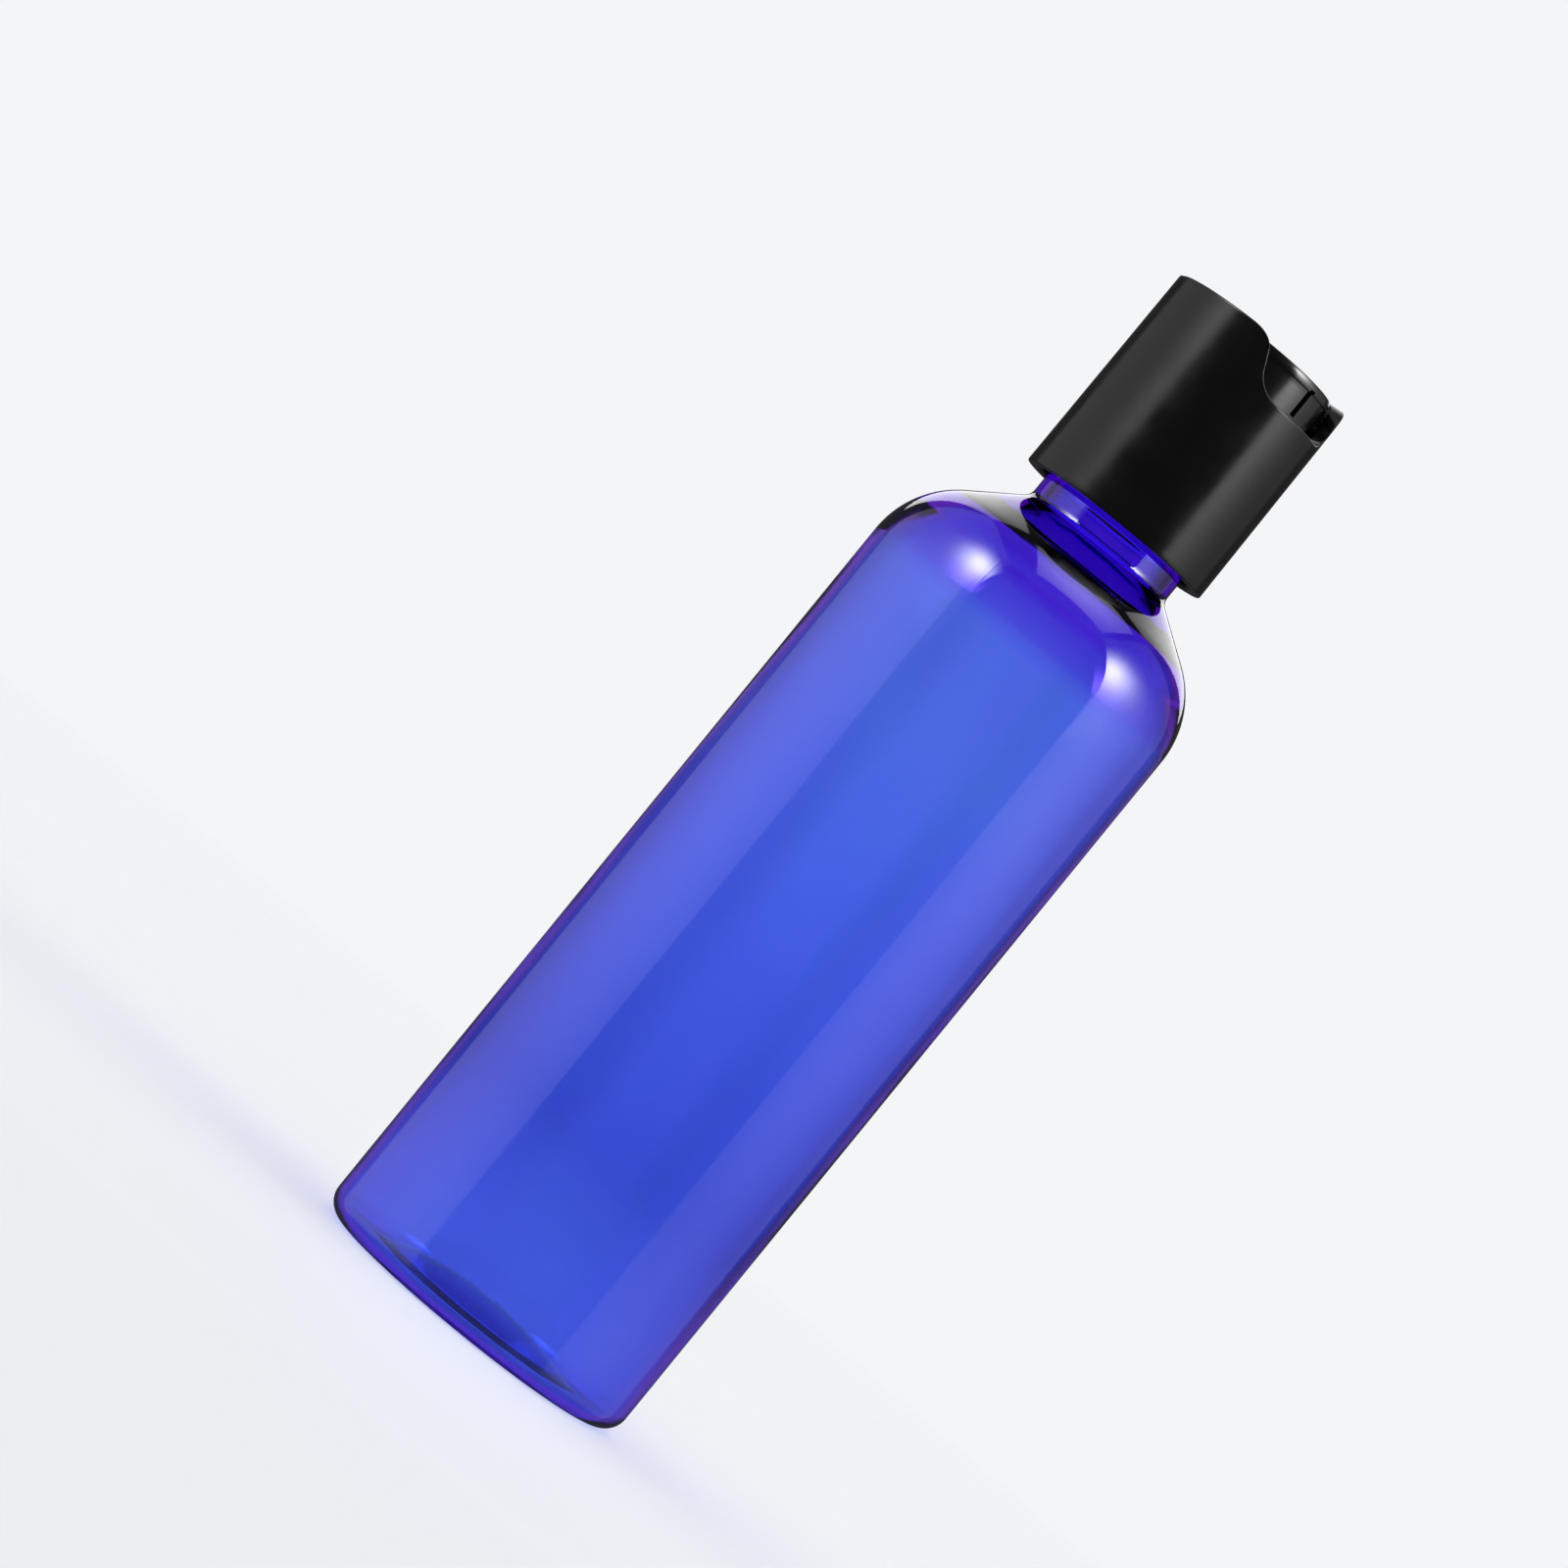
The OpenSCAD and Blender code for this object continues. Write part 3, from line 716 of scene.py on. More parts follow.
class RimEdge:
    """One edge of the rim: its path, and rows that run beside it on the wall and on the top."""

    def __init__(self, radius, soft, inward):
        self.radius, self.soft = radius, soft
        x = radius * np.sin(turn)
        # The path, as distances round the wall and heights, and the way square to it.
        self.s, self.z = radius * turn, rim_height(x)
        slope = np.gradient(self.z, self.s)
        length = np.sqrt(1 + slope**2)
        self.down = np.stack([slope, -np.ones_like(slope)], 1) / length[:, None]
        # The way across the top of the rim lies square to the path and in the rim's slope.
        along = np.stack([np.cos(turn), np.sin(turn), slope], 1)
        tilt = (rim_height(x + 1e-3) - rim_height(x - 1e-3)) / 2e-3
        up = np.stack([-tilt, 0 * tilt, np.ones_like(tilt)], 1)
        across = np.cross(along, up)
        across /= np.linalg.norm(across, axis=1)[:, None]
        centre_way = -np.stack([np.sin(turn), -np.cos(turn), 0 * turn], 1) * inward
        across *= np.sign(np.sum(across * centre_way, 1))[:, None]
        self.corner = self.wall(0)
        self.inner = self.corner + across * soft[:, None]
        self.inner[:, 2] = rim_height(self.inner[:, 0])

    def wall_path(self, distance):
        """Path moved down the wall, as distances round it and heights."""
        return self.s + distance * self.down[:, 0], self.z + distance * self.down[:, 1]

    def wall(self, distance):
        """A row on the wall, at a distance below the edge."""
        return self.place(*self.wall_path(distance))

    def place(self, s, z):
        """Points on the round wall from distances round it and heights."""
        angle = s / self.radius
        r = outer_radius(z) if self.radius > WELL_R else self.radius
        return np.stack([r * np.sin(angle), -r * np.cos(angle), z + 0 * angle], 1)

    def beside(self, level_z, steps):
        """Rows from a level ring up to the soft edge."""
        far_s, far_z = self.wall_path(self.soft + BELOW_EDGE[0])
        rows = []
        for t in np.linspace(0, 1, steps, endpoint=False):
            share = t * t * (3 - 2 * t)
            s = self.s + (far_s - self.s) * share
            rows.append(self.place(s, level_z + (far_z - level_z) * t))
        return rows + [self.wall(self.soft + d) for d in BELOW_EDGE]

    def soft_rows(self):
        """The rounded edge itself, from the wall to the top."""
        start = self.wall(self.soft)
        return [(1 - t) ** 2 * start + 2 * t * (1 - t) * self.corner + t**2 * self.inner
                for t in np.linspace(0, 1, SOFT_STEPS)]


outer = RimEdge(RIM_R, np.full_like(turn, OUTER_SOFT), 1)
inner = RimEdge(WELL_R, np.full_like(turn, INNER_SOFT), -1)
top_rows = []
for t in np.linspace(0, 1, 10)[1:-1]:
    row = outer.inner * (1 - t) + inner.inner * t
    row[:, 2] = rim_height(row[:, 0])
    top_rows.append(row)
print(len(turn), "columns,", len(top_rows) + 2 * SOFT_STEPS, "rows across the rim")

# %% [markdown]
# Inside the well stands the collar. Its top slopes down to the front, where the disc's channel
# runs over it. Its rows are level rings up to the slant, and its seat follows the ball. The
# rest is turned: deck, orifice, the roof over the sealing ring, and the inside of the skirt,
# with rows close enough together to carry the thread.

# %% Rows of the collar, the deck and the skirt
SEAT_R, CHAMBER_R, COLLAR_R, ORIFICE_R, SKIRT_BORE_R = 4.25, 3.005, 5.405, 1.5, 10.05
COLLAR_FRONT, COLLAR_BACK, LEAD_IN, CAP_THREAD_STEP = 2.2, 0.8, 0.3, 0.14


def level(radius, z, angles=turn):
    """A level ring with a point at each angle, counted from the front."""
    return np.stack([radius * np.sin(angles), -radius * np.cos(angles), z + 0 * angles], 1)


def slant(radius):
    """Height of the collar's slanted top at a radius."""
    share = (1 - radius * np.cos(turn) / COLLAR_R) / 2
    return PIVOT_Z - COLLAR_FRONT + (COLLAR_FRONT - COLLAR_BACK) * share


# The radius at which the ball's seat meets the slanted top, found from a first guess.
seat_edge = np.sqrt(SEAT_R**2 - (slant(np.full_like(turn, 4.0)) - PIVOT_Z) ** 2)
seat_edge = np.sqrt(SEAT_R**2 - (slant(seat_edge) - PIVOT_Z) ** 2)
seat_low = -math.sqrt(SEAT_R**2 - CHAMBER_R**2)
collar_rows = [level(COLLAR_R, DECK_TOP_Z + (slant(COLLAR_R) - 0.1 - DECK_TOP_Z) * t)
               for t in (0.06, 0.35, 0.7, 1)]
collar_rows += [level(COLLAR_R - 0.03, slant(COLLAR_R) - 0.03)]
for t in (0.08, 0.35, 0.65, 0.96):
    radius = COLLAR_R * (1 - t) + seat_edge * t
    collar_rows.append(level(radius, slant(radius)))
for t in np.linspace(0.04, 1, 10):
    drop = (slant(seat_edge) - PIVOT_Z) * (1 - t) + seat_low * t
    collar_rows.append(level(np.sqrt(SEAT_R**2 - drop**2), PIVOT_Z + drop))
turned_rows = [[CHAMBER_R, PIVOT_Z + seat_low - 0.15], [CHAMBER_R, DECK_TOP_Z + 0.2],
               [CHAMBER_R - 0.2, DECK_TOP_Z], [ORIFICE_R + 0.12, DECK_TOP_Z],
               [ORIFICE_R, DECK_TOP_Z - 0.12], [ORIFICE_R, DECK_Z + 0.12],
               [ORIFICE_R + 0.12, DECK_Z], [4, DECK_Z], [7, DECK_Z], [SKIRT_BORE_R - 0.15, DECK_Z],
               [SKIRT_BORE_R, DECK_Z - 0.15]]
turned_rows += [[SKIRT_BORE_R, z]
                for z in np.arange(DECK_Z - 0.4, SKIRT_Z + LEAD_IN + 0.05, -CAP_THREAD_STEP)]
turned_rows += [[SKIRT_BORE_R, SKIRT_Z + LEAD_IN], [SKIRT_BORE_R + LEAD_IN, SKIRT_Z],
                [CAP_R - 0.6, SKIRT_Z]]
foot = fillet([CAP_R, SKIRT_Z], [CAP_R - 1, SKIRT_Z], [CAP_R, SKIRT_Z + 1], 0.16, 5)
foot_rows = [level(r, z) for r, z in foot]
LEVEL_Z = NOTCH_FLOOR_Z - 1.4
wall_rows = [level(outer_radius(z), z)
             for z in np.linspace(SKIRT_Z + 0.6, LEVEL_Z, 9, endpoint=False)]
well_rows = [level(WELL_R, z) for z in np.linspace(LEVEL_Z, DECK_TOP_Z + 0.3, 5)[1:]]
deck_rows = [level(WELL_R - 0.1, DECK_TOP_Z + 0.08), level(WELL_R - 0.3, DECK_TOP_Z),
             level(8.0, DECK_TOP_Z), level(COLLAR_R + 0.25, DECK_TOP_Z)]
cap_rows = foot_rows + wall_rows + outer.beside(LEVEL_Z, 8) + outer.soft_rows() + top_rows
cap_rows += inner.soft_rows()[::-1] + inner.beside(LEVEL_Z, 8)[::-1] + well_rows + deck_rows
cap_rows += collar_rows + [level(r, z) for r, z in turned_rows]
print("the cap has", len(cap_rows), "rows")

# %% [markdown]
# A grid of rows becomes a mesh when every point is joined to its neighbours. Points that fall
# together are merged, so that a pole or a seam is closed. Booleans need simple solids as tools.
# They are made in place by small helpers, and removed once they have done their work.

# %% Helpers for grids and booleans
def grid_object(name, rows, finish, loop=True):
    """A closed grid of rows as an object, with its faces outwards."""
    columns = len(rows[0])
    points = np.concatenate(rows) * MM
    faces = []
    for i in range(len(rows) if loop else len(rows) - 1):
        j = (i + 1) % len(rows)
        for a in range(columns):
            b = (a + 1) % columns
            faces.append((i * columns + a, i * columns + b, j * columns + b, j * columns + a))
    mesh = bpy.data.meshes.new(name)
    mesh.from_pydata(points.tolist(), [], faces)
    tidy = bmesh.new()
    tidy.from_mesh(mesh)
    bmesh.ops.remove_doubles(tidy, verts=tidy.verts, dist=MERGE_M)
    bmesh.ops.dissolve_degenerate(tidy, edges=tidy.edges, dist=1e-8)
    tidy.to_mesh(mesh)
    tidy.free()
    mesh.materials.append(finish)
    return show(mesh, name)


def tool(kind, place, **sizes):
    """A closed solid that a boolean adds or takes away. Its place is a matrix in mm."""
    mesh = bpy.data.meshes.new("tool")
    shape = bmesh.new()
    getattr(bmesh.ops, "create_" + kind)(shape, **sizes)
    shape.transform(Matrix.Scale(MM, 4) @ place)
    shape.to_mesh(mesh)
    shape.free()
    return show(mesh, "tool")


def rod(start, stop, radius, steps=64):
    """A round rod between two points."""
    start, stop = Vector(start), Vector(stop)
    turned = (stop - start).to_track_quat("Z", "Y").to_matrix().to_4x4()
    place = Matrix.Translation((start + stop) / 2) @ turned
    return tool("cone", place, cap_ends=True, segments=steps, radius1=radius, radius2=radius,
                depth=(stop - start).length)


def block(low, high):
    """A box between two corners."""
    low, high = Vector(low), Vector(high)
    return tool("cube", Matrix.Translation((low + high) / 2) @ Matrix.Diagonal((*(high - low), 1)),
                size=1.0)


def ball(centre, radius, steps=64):
    """A ball, with half as many steps from pole to pole as round it."""
    return tool("uvsphere", Matrix.Translation(centre), u_segments=steps, v_segments=steps // 2,
                radius=radius)


def combine(made, operation, *others):
    """Joins, cuts or trims a piece with tools by exact booleans. The tools are then removed."""
    for other in others:
        step = made.modifiers.new("step", "BOOLEAN")
        step.operation, step.solver, step.object = operation, "EXACT", other
    settle(made)
    for other in others:
        bpy.data.objects.remove(other)
    return made


print("grid and boolean helpers ready")

# %% [markdown]
# The cap's grid closes both ways, like a tyre. Then the thread is raised inwards, and two blind
# holes are bored in the well for the pins that the disc turns on. Bored with an exact boolean,
# they stay clean because the wall round them is a plain cylinder.

# %% Build the cap
PIN_R, PIN_FIT, SOCKET_START, SOCKET_END, CAP_RIDGE, CRISP = 1.1, 0.05, 9, 10.95, 0.8, 34
cap = grid_object("screw_cap", cap_rows, CAP_BLACK)
raise_thread(cap, SKIRT_BORE_R, -CAP_RIDGE, NECK_THREAD_Z - PITCH / 2, CAP_BLACK)
sockets = [rod((side * SOCKET_START, 0, PIVOT_Z), (side * SOCKET_END, 0, PIVOT_Z), PIN_R + PIN_FIT)
           for side in (-1, 1)]
combine(cap, "DIFFERENCE", *sockets)
crease(cap, CRISP)
print("cap:", len(cap.data.polygons), "faces")

# %% [markdown]
# ## The disc
#
# The disc is a plate with a side wall, trimmed so that it swings freely in the well. The wall
# is just short enough to clear the cap's deck when the disc is tipped all the way. From the
# underside hang the valve ball and the channel that leads from the ball to the slot in the
# front wall. The shell is turned first.

# %% Turn the disc's shell
DISC_R, SIDE_R, SIDE_IN_R, SWING_R, PLATE = 9.6, 9.35, 8.35, 9.9, 1.05
PLATE_Z, FOOT_GAP, FULL_TILT = DISC_TOP_Z - PLATE, 0.3, math.radians(20)
foot_drop = PIVOT_Z - DECK_TOP_Z - FOOT_GAP - SIDE_R * math.sin(FULL_TILT)
DISC_FOOT_Z = PIVOT_Z - foot_drop / math.cos(FULL_TILT)
rise = DISC_TOP_Z - PIVOT_Z
trim_top = math.sqrt(SWING_R**2 - rise**2)
trim_angle = math.degrees(math.asin(rise / SWING_R))
meet_angle = math.degrees(math.acos(DISC_R / SWING_R))
disc_turn = np.radians(np.arange(0, 360, 2.0) - 180)
disc_points = outline(
    [[0, PLATE_Z], [3, PLATE_Z], [6, PLATE_Z]],
    fillet([SIDE_IN_R, PLATE_Z], [0, PLATE_Z], [SIDE_IN_R, DISC_FOOT_Z], 0.2, 4),
    fillet([SIDE_IN_R, DISC_FOOT_Z], [SIDE_IN_R, PLATE_Z], [SIDE_R, DISC_FOOT_Z], 0.15, 4),
    fillet([SIDE_R, DISC_FOOT_Z], [SIDE_IN_R, DISC_FOOT_Z], [SIDE_R, PLATE_Z], 0.15, 4),
    straight([SIDE_R, DISC_FOOT_Z + 0.6], [SIDE_R, PLATE_Z - 0.1], 8),
    fillet([SIDE_R, PLATE_Z], [SIDE_R, DISC_FOOT_Z], [DISC_R, PLATE_Z], 0.06, 4),
    fillet([DISC_R, PLATE_Z], [SIDE_R, PLATE_Z], [DISC_R, DISC_TOP_Z], 0.08, 4),
    rounded([0, PIVOT_Z], SWING_R, meet_angle, trim_angle - 0.8, 6),
    fillet([trim_top, DISC_TOP_Z], [DISC_R, DISC_TOP_Z - 0.5], [0, DISC_TOP_Z], 0.14, 6),
    [[8.5, DISC_TOP_Z], [5, DISC_TOP_Z], [2, DISC_TOP_Z], [0, DISC_TOP_Z]],
)
disc_rows = [level(r, z, disc_turn) for r, z in disc_points]
disc = grid_object("press_disc", disc_rows, DISC_BLACK, loop=False)
print(f"the disc's side wall ends at {DISC_FOOT_Z:.2f}, the deck lies at {DECK_TOP_Z:.2f}")

# %% [markdown]
# Booleans add the ball, the channel with its web, the pins and the walls round the slot. Such
# joins are ragged, but here they all lie under the plate, where they don't show. Then the
# channel, its inlet in the ball and the slot are bored, and a large ball presses the thumb's
# shallow hollow into the back of the plate.

# %% Add and bore the disc's inner parts
BALL_R, CHANNEL_R, CHANNEL_OUT_R, INLET_R, INLET_ANGLE = 4.2, 1.1, 1.8, 0.9, 62.0
SLOT_W, SLOT_H, SLOT_DEPTH, SLOT_WALL, SLOT_DROP = 0.8, 3.5, 2.0, 0.8, 0.7
PIN_END, HOLLOW_R, HOLLOW_DEPTH, HOLLOW_FROM_EDGE, BEYOND = 10.85, 4.0, 0.3, 5, 9
SLOT_Z = DISC_TOP_Z - SLOT_DROP - SLOT_H / 2
inside_plate = PLATE_Z + 0.5
valve = ball((0, 0, PIVOT_Z), BALL_R)
combine(valve, "INTERSECT", block((-BEYOND, -BEYOND, PIVOT_Z - BEYOND),
                                  (BEYOND, BEYOND, inside_plate)))
web_w = CHANNEL_OUT_R / 2
block_low = (-SLOT_W / 2 - SLOT_WALL, -SIDE_R + 0.5, SLOT_Z - SLOT_H / 2 - SLOT_WALL)
block_high = (SLOT_W / 2 + SLOT_WALL, -SIDE_R + SLOT_DEPTH + SLOT_WALL, inside_plate)
combine(disc, "UNION", valve,
        rod((0, 0, PIVOT_Z), (0, -SIDE_R + 0.5, PIVOT_Z), CHANNEL_OUT_R),
        block((-web_w, -SIDE_R + 0.5, PIVOT_Z), (web_w, -0.5, inside_plate)),
        block(block_low, block_high),
        *(rod((side * (SIDE_R - 0.5), 0, PIVOT_Z), (side * PIN_END, 0, PIVOT_Z), PIN_R)
          for side in (-1, 1)))
inlet = math.radians(INLET_ANGLE)
inlet_end = (0, BEYOND * math.sin(inlet), PIVOT_Z - BEYOND * math.cos(inlet))
pressing_r = (HOLLOW_R**2 + HOLLOW_DEPTH**2) / (2 * HOLLOW_DEPTH)
hollow_middle = (0, DISC_R - HOLLOW_FROM_EDGE, DISC_TOP_Z - HOLLOW_DEPTH + pressing_r)
combine(disc, "DIFFERENCE",
        rod((0, 0, PIVOT_Z), (0, -SIDE_R + 1.0, PIVOT_Z), CHANNEL_R, 48),
        rod((0, 0, PIVOT_Z), inlet_end, INLET_R, 48),
        block((-SLOT_W / 2, -DISC_R - 1, SLOT_Z - SLOT_H / 2),
              (SLOT_W / 2, -SIDE_R + SLOT_DEPTH, SLOT_Z + SLOT_H / 2)),
        ball(hollow_middle, pressing_r, 256))
crease(disc, CRISP)
# The tools can leave empty material slots behind, so the disc gets its only one again.
disc.data.materials.clear()
disc.data.materials.append(DISC_BLACK)
print("disc:", len(disc.data.polygons), "faces")

# %% [markdown]
# ## Put the pieces on the bodies
#
# Each piece stands for one solid and moves with its body. The ring stays with its own body,
# which climbs the thread with the cap. The clear bottle casts no shadow, because Cycles, which
# leaves out the light that clear plastic gathers, would draw one as dark as that of a solid.

# %% Ride and replace
for piece, node, body, slot in (
    (bottle, "bottle", "bottle", "bottle_plastic"),
    (liner, "liner", "liner", "liner_foam"),
    (cap, "cap_body", "cap", "cap_plastic"),
    (disc, "rocker_disc", "disc", "disc_plastic"),
):
    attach(piece, body)
    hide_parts(node)
    print(piece.name, "stands for", node, "and rides on", body)
bottle.visible_shadow = False

# %% [markdown]
# ## The studio
#
# The bottle stands on a plain pale floor. The floor turns clear with the distance, so that no
# edge of it is seen, and it is left out of reflections, which keeps the black cap black.

# %% The floor
FLOOR_R, FADE_START, FADE_END = 0.6, 0.12, 0.4


def pale_floor():
    """Nearly white with faint clouds, and clear far away from the bottle."""
    finish = bpy.data.materials.new("pale_floor")
    finish.use_nodes = True
    tree = finish.node_tree
    spot = tree.nodes.new("ShaderNodeTexCoord").outputs["Object"]
    skin = tree.nodes["Principled BSDF"]
    shade = blend_colours(tree, cloud(tree, spot, 60, 3), (0.9, 0.91, 0.925), (0.92, 0.93, 0.945))
    plug(tree, skin.inputs["Base Color"], shade)
    skin.inputs["Roughness"].default_value = 0.6
    length = add_node(tree, "ShaderNodeVectorMath", {"operation": "LENGTH"}, Vector=spot)
    fade = spread(tree, Wire(tree, length.outputs["Value"]), 0, 1, FADE_START, FADE_END)
    clear = tree.nodes.new("ShaderNodeBsdfTransparent")
    mix = add_node(tree, "ShaderNodeMixShader", Fac=fade)
    tree.links.new(skin.outputs[0], mix.inputs[1])
    tree.links.new(clear.outputs[0], mix.inputs[2])
    tree.links.new(mix.outputs[0], tree.nodes["Material Output"].inputs[0])
    return finish


floor_mesh = bpy.data.meshes.new("floor")
floor_shape = bmesh.new()
bmesh.ops.create_circle(floor_shape, cap_ends=True, segments=96, radius=FLOOR_R)
floor_shape.to_mesh(floor_mesh)
floor_shape.free()
floor_mesh.materials.append(pale_floor())
floor = show(floor_mesh, "floor")
floor.visible_glossy = False
print("floor:", 2 * FLOOR_R, "m wide")

# %% [markdown]
# What is seen in clear plastic is its surroundings, bent and coloured. So the surroundings
# answer each kind of light ray in its own way. Looked at directly, they are evenly pale.
# Through the bottle they are graded: dim and bluish low down and bright above, dark far out to
# the sides, which draws the dark edges of the body, and brighter once more well below the
# horizon, where the floor would be. In reflections they are nearly black, so that the middle
# of the black cap stays black and only the lights show.

# %% The surroundings
CAMERA_TURN = -48.0
# The level ways away from the viewer and to the viewer's right.
view_way = Vector((-math.sin(math.radians(CAMERA_TURN)), math.cos(math.radians(CAMERA_TURN)), 0))
right_way = Vector((view_way.y, -view_way.x, 0))
DIRECT, MIRRORED, LIGHTING = 0.93, 0.05, 0.42
PALE_RED, PALE_GREEN, OFF_MIDDLE = 0.97, 0.98, 0.05
# A grade is two values and the two slopes or distances aside at which they are reached.
LOW_TO_HIGH, BLUE_SHARE = (0.66, 1.3, -0.055, 0.03), (1.25, 0.76, -0.0565, 0.03)
DARK_SIDES, FLOOR_GLOW = (1, 0.1, 0.35, 0.6), (0.55, 0, -0.15, -0.09)


def pale_surroundings():
    """Evenly pale to look at, graded to look through, and dark in reflections."""
    world = bpy.data.worlds.new("studio")
    bpy.context.scene.world = world
    world.use_nodes = True
    tree = world.node_tree
    way = tree.nodes.new("ShaderNodeTexCoord").outputs["Generated"]
    slope = Wire(tree, add_node(tree, "ShaderNodeSeparateXYZ", Vector=way).outputs["Z"])
    graded = spread(tree, slope, *LOW_TO_HIGH)
    across = add_node(tree, "ShaderNodeVectorMath", {"operation": "DOT_PRODUCT"}, Vector=way)
    across.inputs[1].default_value = right_way
    aside = (Wire(tree, across.outputs["Value"]) + OFF_MIDDLE).math("ABSOLUTE")
    graded = graded * spread(tree, aside, *DARK_SIDES)
    graded = graded + spread(tree, slope, *FLOOR_GLOW)
    cool = spread(tree, slope, *BLUE_SHARE)
    path = tree.nodes.new("ShaderNodeLightPath")
    strength = MIRRORED
    for ray, value in (("Is Diffuse Ray", LIGHTING), ("Is Transmission Ray", graded),
                       ("Is Camera Ray", DIRECT)):
        mix = add_node(tree, "ShaderNodeMix", Factor=path.outputs[ray], A=strength, B=value)
        strength = mix.outputs[0]
    ground = tree.nodes["Background"]
    seen = add_node(tree, "ShaderNodeCombineColor", Red=PALE_RED, Green=PALE_GREEN, Blue=cool)
    colour = add_node(tree, "ShaderNodeMix", {"data_type": "RGBA"})
    plug(tree, colour.inputs[0], path.outputs["Is Transmission Ray"])
    colour.inputs[6].default_value = (PALE_RED, PALE_GREEN, 1.0, 1)
    plug(tree, colour.inputs[7], seen.outputs[0])
    plug(tree, ground.inputs["Color"], colour.outputs[2])
    plug(tree, ground.inputs["Strength"], strength)


pale_surroundings()
print("surroundings ready, seen from", CAMERA_TURN, "degrees beside the front")

# %% [markdown]
# All the lights are flat panels, which show in the black cap as soft shapes. A real soft box is
# brighter near its lamp, and a shiny surface shows that. An area light is evenly bright, so the
# helper gives its emission a node tree: a brighter part that falls off smoothly all round, or
# an even panel that gets darker with the height.

# %% A helper for soft lights
FADED_TO = 0.15


def around(right, away, up):
    """A spot given to the right of the bottle, away from the viewer, and up, in metres."""
    return right_way * right + view_way * away + Vector((0, 0, up))


def soft_light(name, spot, aim, width, height, radiance, hot=None, fade=None):
    """A flat panel at a spot, turned to its aim. hot is the spot of a brighter part, its
    radiance, and how far it reaches sideways and upwards. fade is the two heights between which
    an even panel gets darker."""
    data = bpy.data.lights.new(name, "AREA")
    data.shape, data.size, data.size_y = "RECTANGLE", width, height
    # With this power, a strength of 1 in the tree is a radiance of 1.
    data.energy = math.pi * width * height
    data.use_nodes = True
    tree = data.node_tree
    place = tree.nodes.new("ShaderNodeNewGeometry").outputs["Position"]
    strength = radiance
    if hot is not None:
        centre, peak, sideways, upwards = hot
        apart = add_node(tree, "ShaderNodeVectorMath", {"operation": "SUBTRACT"}, Vector=place)
        apart.inputs[1].default_value = centre
        reach = add_node(tree, "ShaderNodeVectorMath", {"operation": "DIVIDE"},
                         Vector=apart.outputs["Vector"])
        reach.inputs[1].default_value = (sideways, sideways, upwards)
        far = add_node(tree, "ShaderNodeVectorMath", {"operation": "LENGTH"},
                       Vector=reach.outputs["Vector"])
        share = Wire(tree, far.outputs["Value"])
        strength = (share * share * -1).math("EXPONENT") * peak + radiance
    if fade is not None:
        height_here = add_node(tree, "ShaderNodeSeparateXYZ", Vector=place).outputs["Z"]
        strength = spread(tree, height_here, radiance, FADED_TO * radiance, *fade)
    plug(tree, tree.nodes["Emission"].inputs["Strength"], strength)
    made = bpy.data.objects.new(name, data)
    bpy.context.scene.collection.objects.link(made)
    made.location = spot
    made.rotation_euler = (Vector(aim) - Vector(spot)).to_track_quat("-Z", "Y").to_euler()
    made.visible_camera = False
    return made


print("light helper ready")

# %% [markdown]
# Two tall panels stand left and right and draw the long bands on the round walls. The bands
# end where the panels end towards the viewer, so that edge is placed with care. A little nearer
# to the bottle hangs a lamp on each side with a small bright middle, which makes a white spot
# on the shoulder. The lamps don't light the floor, or it would turn white. A panel overhead
# lights the floor and the top of the cap. A last panel hangs high at the back, where the flanks
# of the shoulder mirror it. It isn't seen through the bottle, as if the backdrop hung before it.

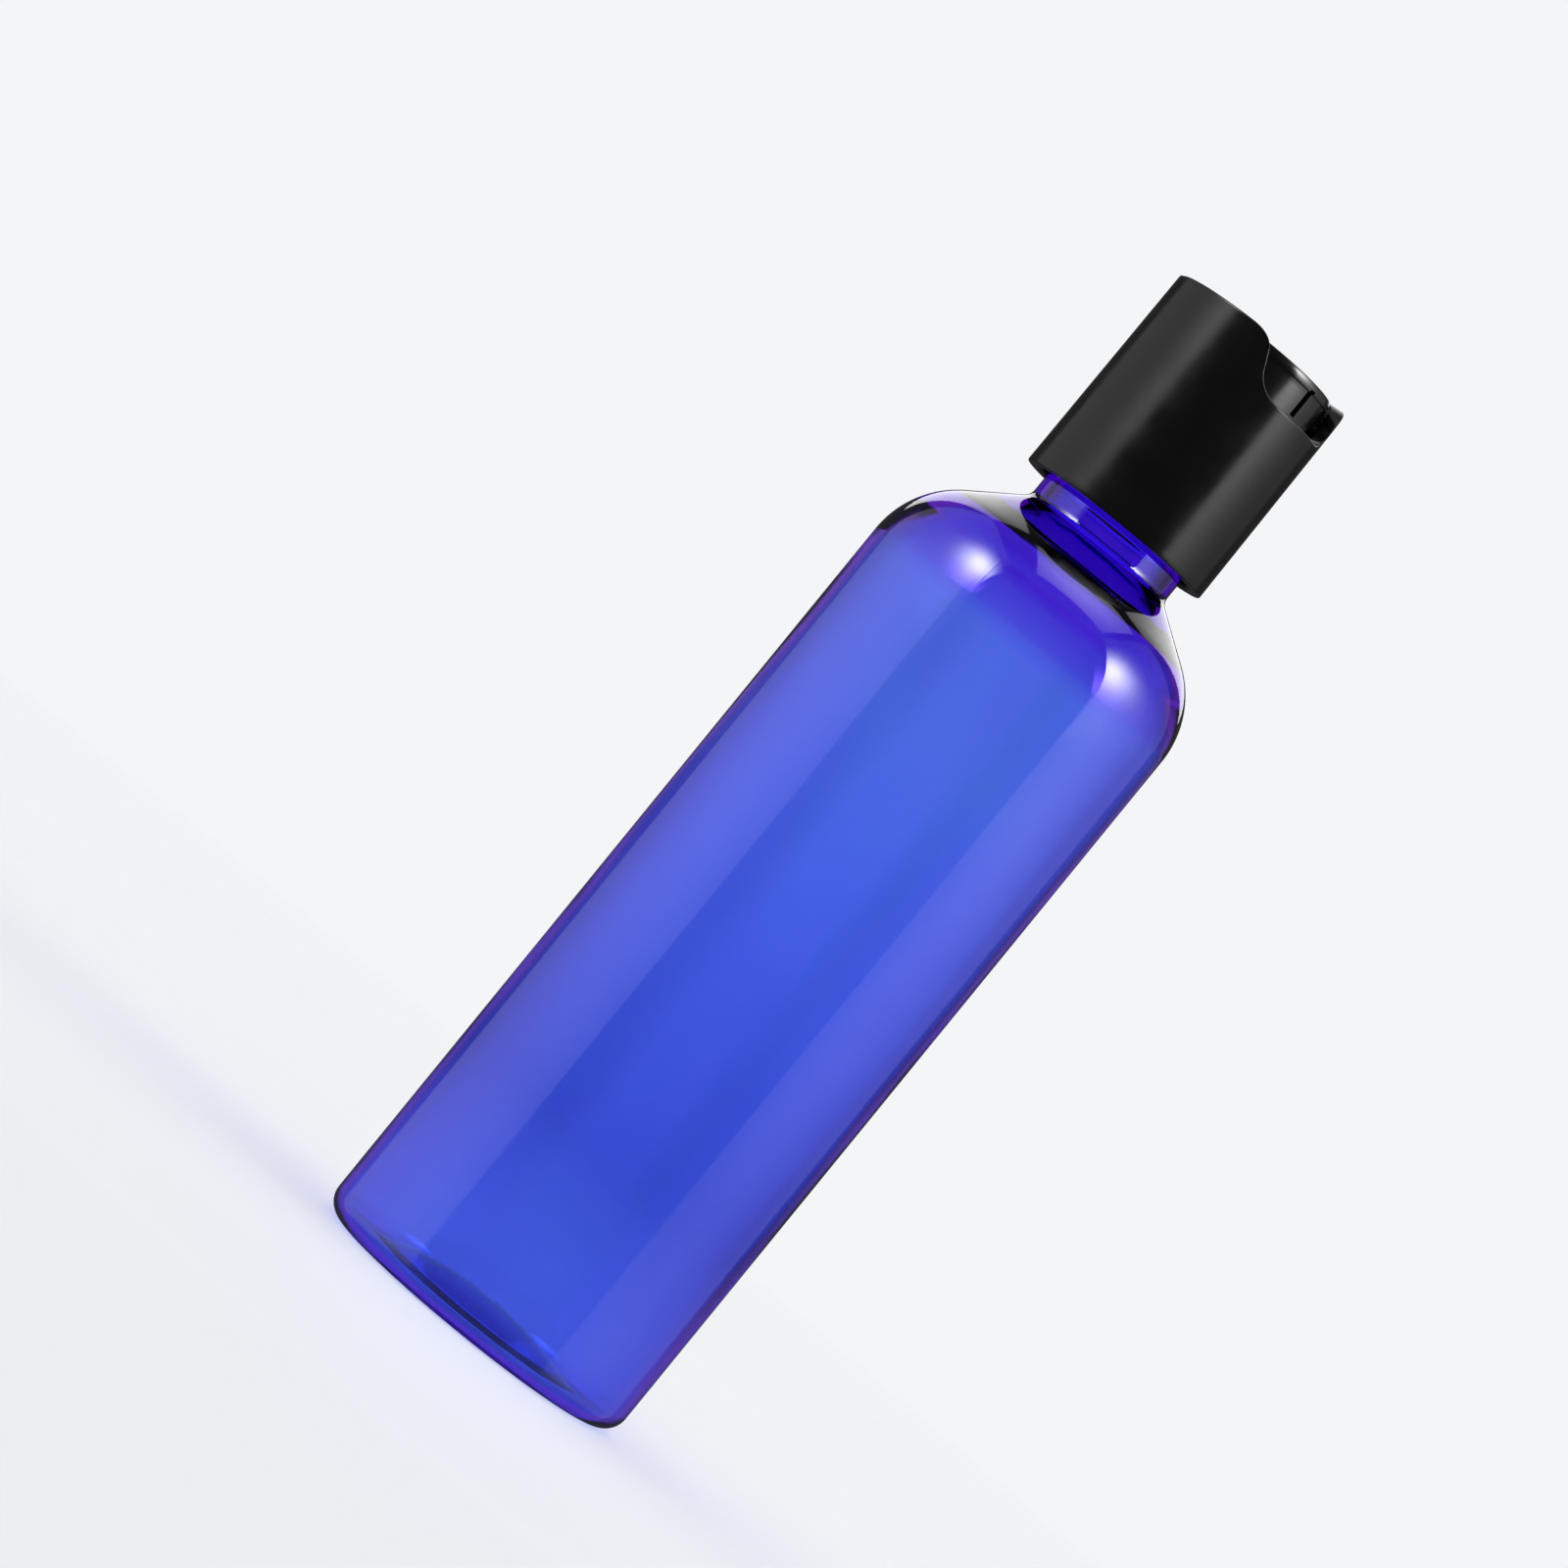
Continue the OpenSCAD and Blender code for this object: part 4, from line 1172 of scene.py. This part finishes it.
# %% Lights
PANEL_X, PANEL_BACK, PANEL_Z, PANEL_TALL = 0.5, 0.48, 0.33, 1.15
for side, front, radiance, away, up, peak, reach in (
    (-1, -0.425, 0.3, -0.08, 0.08, 0.55, 0.35),
    (1, -0.325, 0.2, -0.12, 0.25, 0.95, 0.25),
):
    middle = (front + PANEL_BACK) / 2
    soft_light("side_panel", around(side * PANEL_X, middle, PANEL_Z),
               around(0, middle, PANEL_Z), PANEL_BACK - front, PANEL_TALL, radiance,
               (around(side * PANEL_X, away, up), peak, reach, reach))
LAMP_X, LAMP_BACK, LAMP_Z, LAMP_TALL, LAMP_REACH = 0.49, 0.1, 0.43, 0.64, 0.163
for side, front, away, up, peak in (
    (-1, -0.51, -0.325, 0.45, 17.0),
    (1, -0.31, -0.25, 0.42, 16.5),
):
    middle = (front + LAMP_BACK) / 2
    lamp = soft_light("side_lamp", around(side * LAMP_X, middle, LAMP_Z),
                      around(0, middle, LAMP_Z), LAMP_BACK - front, LAMP_TALL, 0.0,
                      (around(side * LAMP_X, away, up), peak, LAMP_REACH, LAMP_REACH))
    lamp.visible_diffuse = False
soft_light("overhead_panel", around(0.11, 0, 0.95), around(0.11, 0.01, 0), 0.68, 0.6, 0.3,
           (around(0.06, -0.02, 0.95), 2.1, 0.33, 1.0))
back_panel = soft_light("back_panel", around(-0.065, 1.06, 0.87), around(-0.065, 0, 0.14),
                        1.38, 1.15, 1.75, fade=(0.88, 1.5))
back_panel.visible_transmission = False

# %% [markdown]
# ## The camera
#
# The camera looks level, square to the bottle, from 650 mm away. It is rolled, so that the
# bottle seems to lean to the right, and its lens is shifted a little to frame it.

# %% Place the camera
CAMERA_AWAY, CAMERA_Z, CAMERA_ROLL = 0.65, 0.06, math.radians(39.21)
LENS_MM, SENSOR_MM, SHIFT_RIGHT, SHIFT_UP = 141.4, 36, -0.0275, 0.0611
camera_data = bpy.data.cameras.new("camera")
camera_data.lens, camera_data.sensor_width = LENS_MM, SENSOR_MM
camera_data.shift_x, camera_data.shift_y = SHIFT_RIGHT, SHIFT_UP
camera = bpy.data.objects.new("camera", camera_data)
bpy.context.scene.collection.objects.link(camera)
across = right_way * math.cos(CAMERA_ROLL) + Vector((0, 0, math.sin(CAMERA_ROLL)))
upward = Vector((0, 0, math.cos(CAMERA_ROLL))) - right_way * math.sin(CAMERA_ROLL)
turned = Matrix((across, upward, -view_way)).transposed().to_4x4()
camera.matrix_world = Matrix.Translation(around(0, -CAMERA_AWAY, CAMERA_Z)) @ turned
bpy.context.scene.camera = camera
bpy.context.scene.view_settings.view_transform = "Standard"
print("camera at", [round(v, 3) for v in camera.matrix_world.translation])
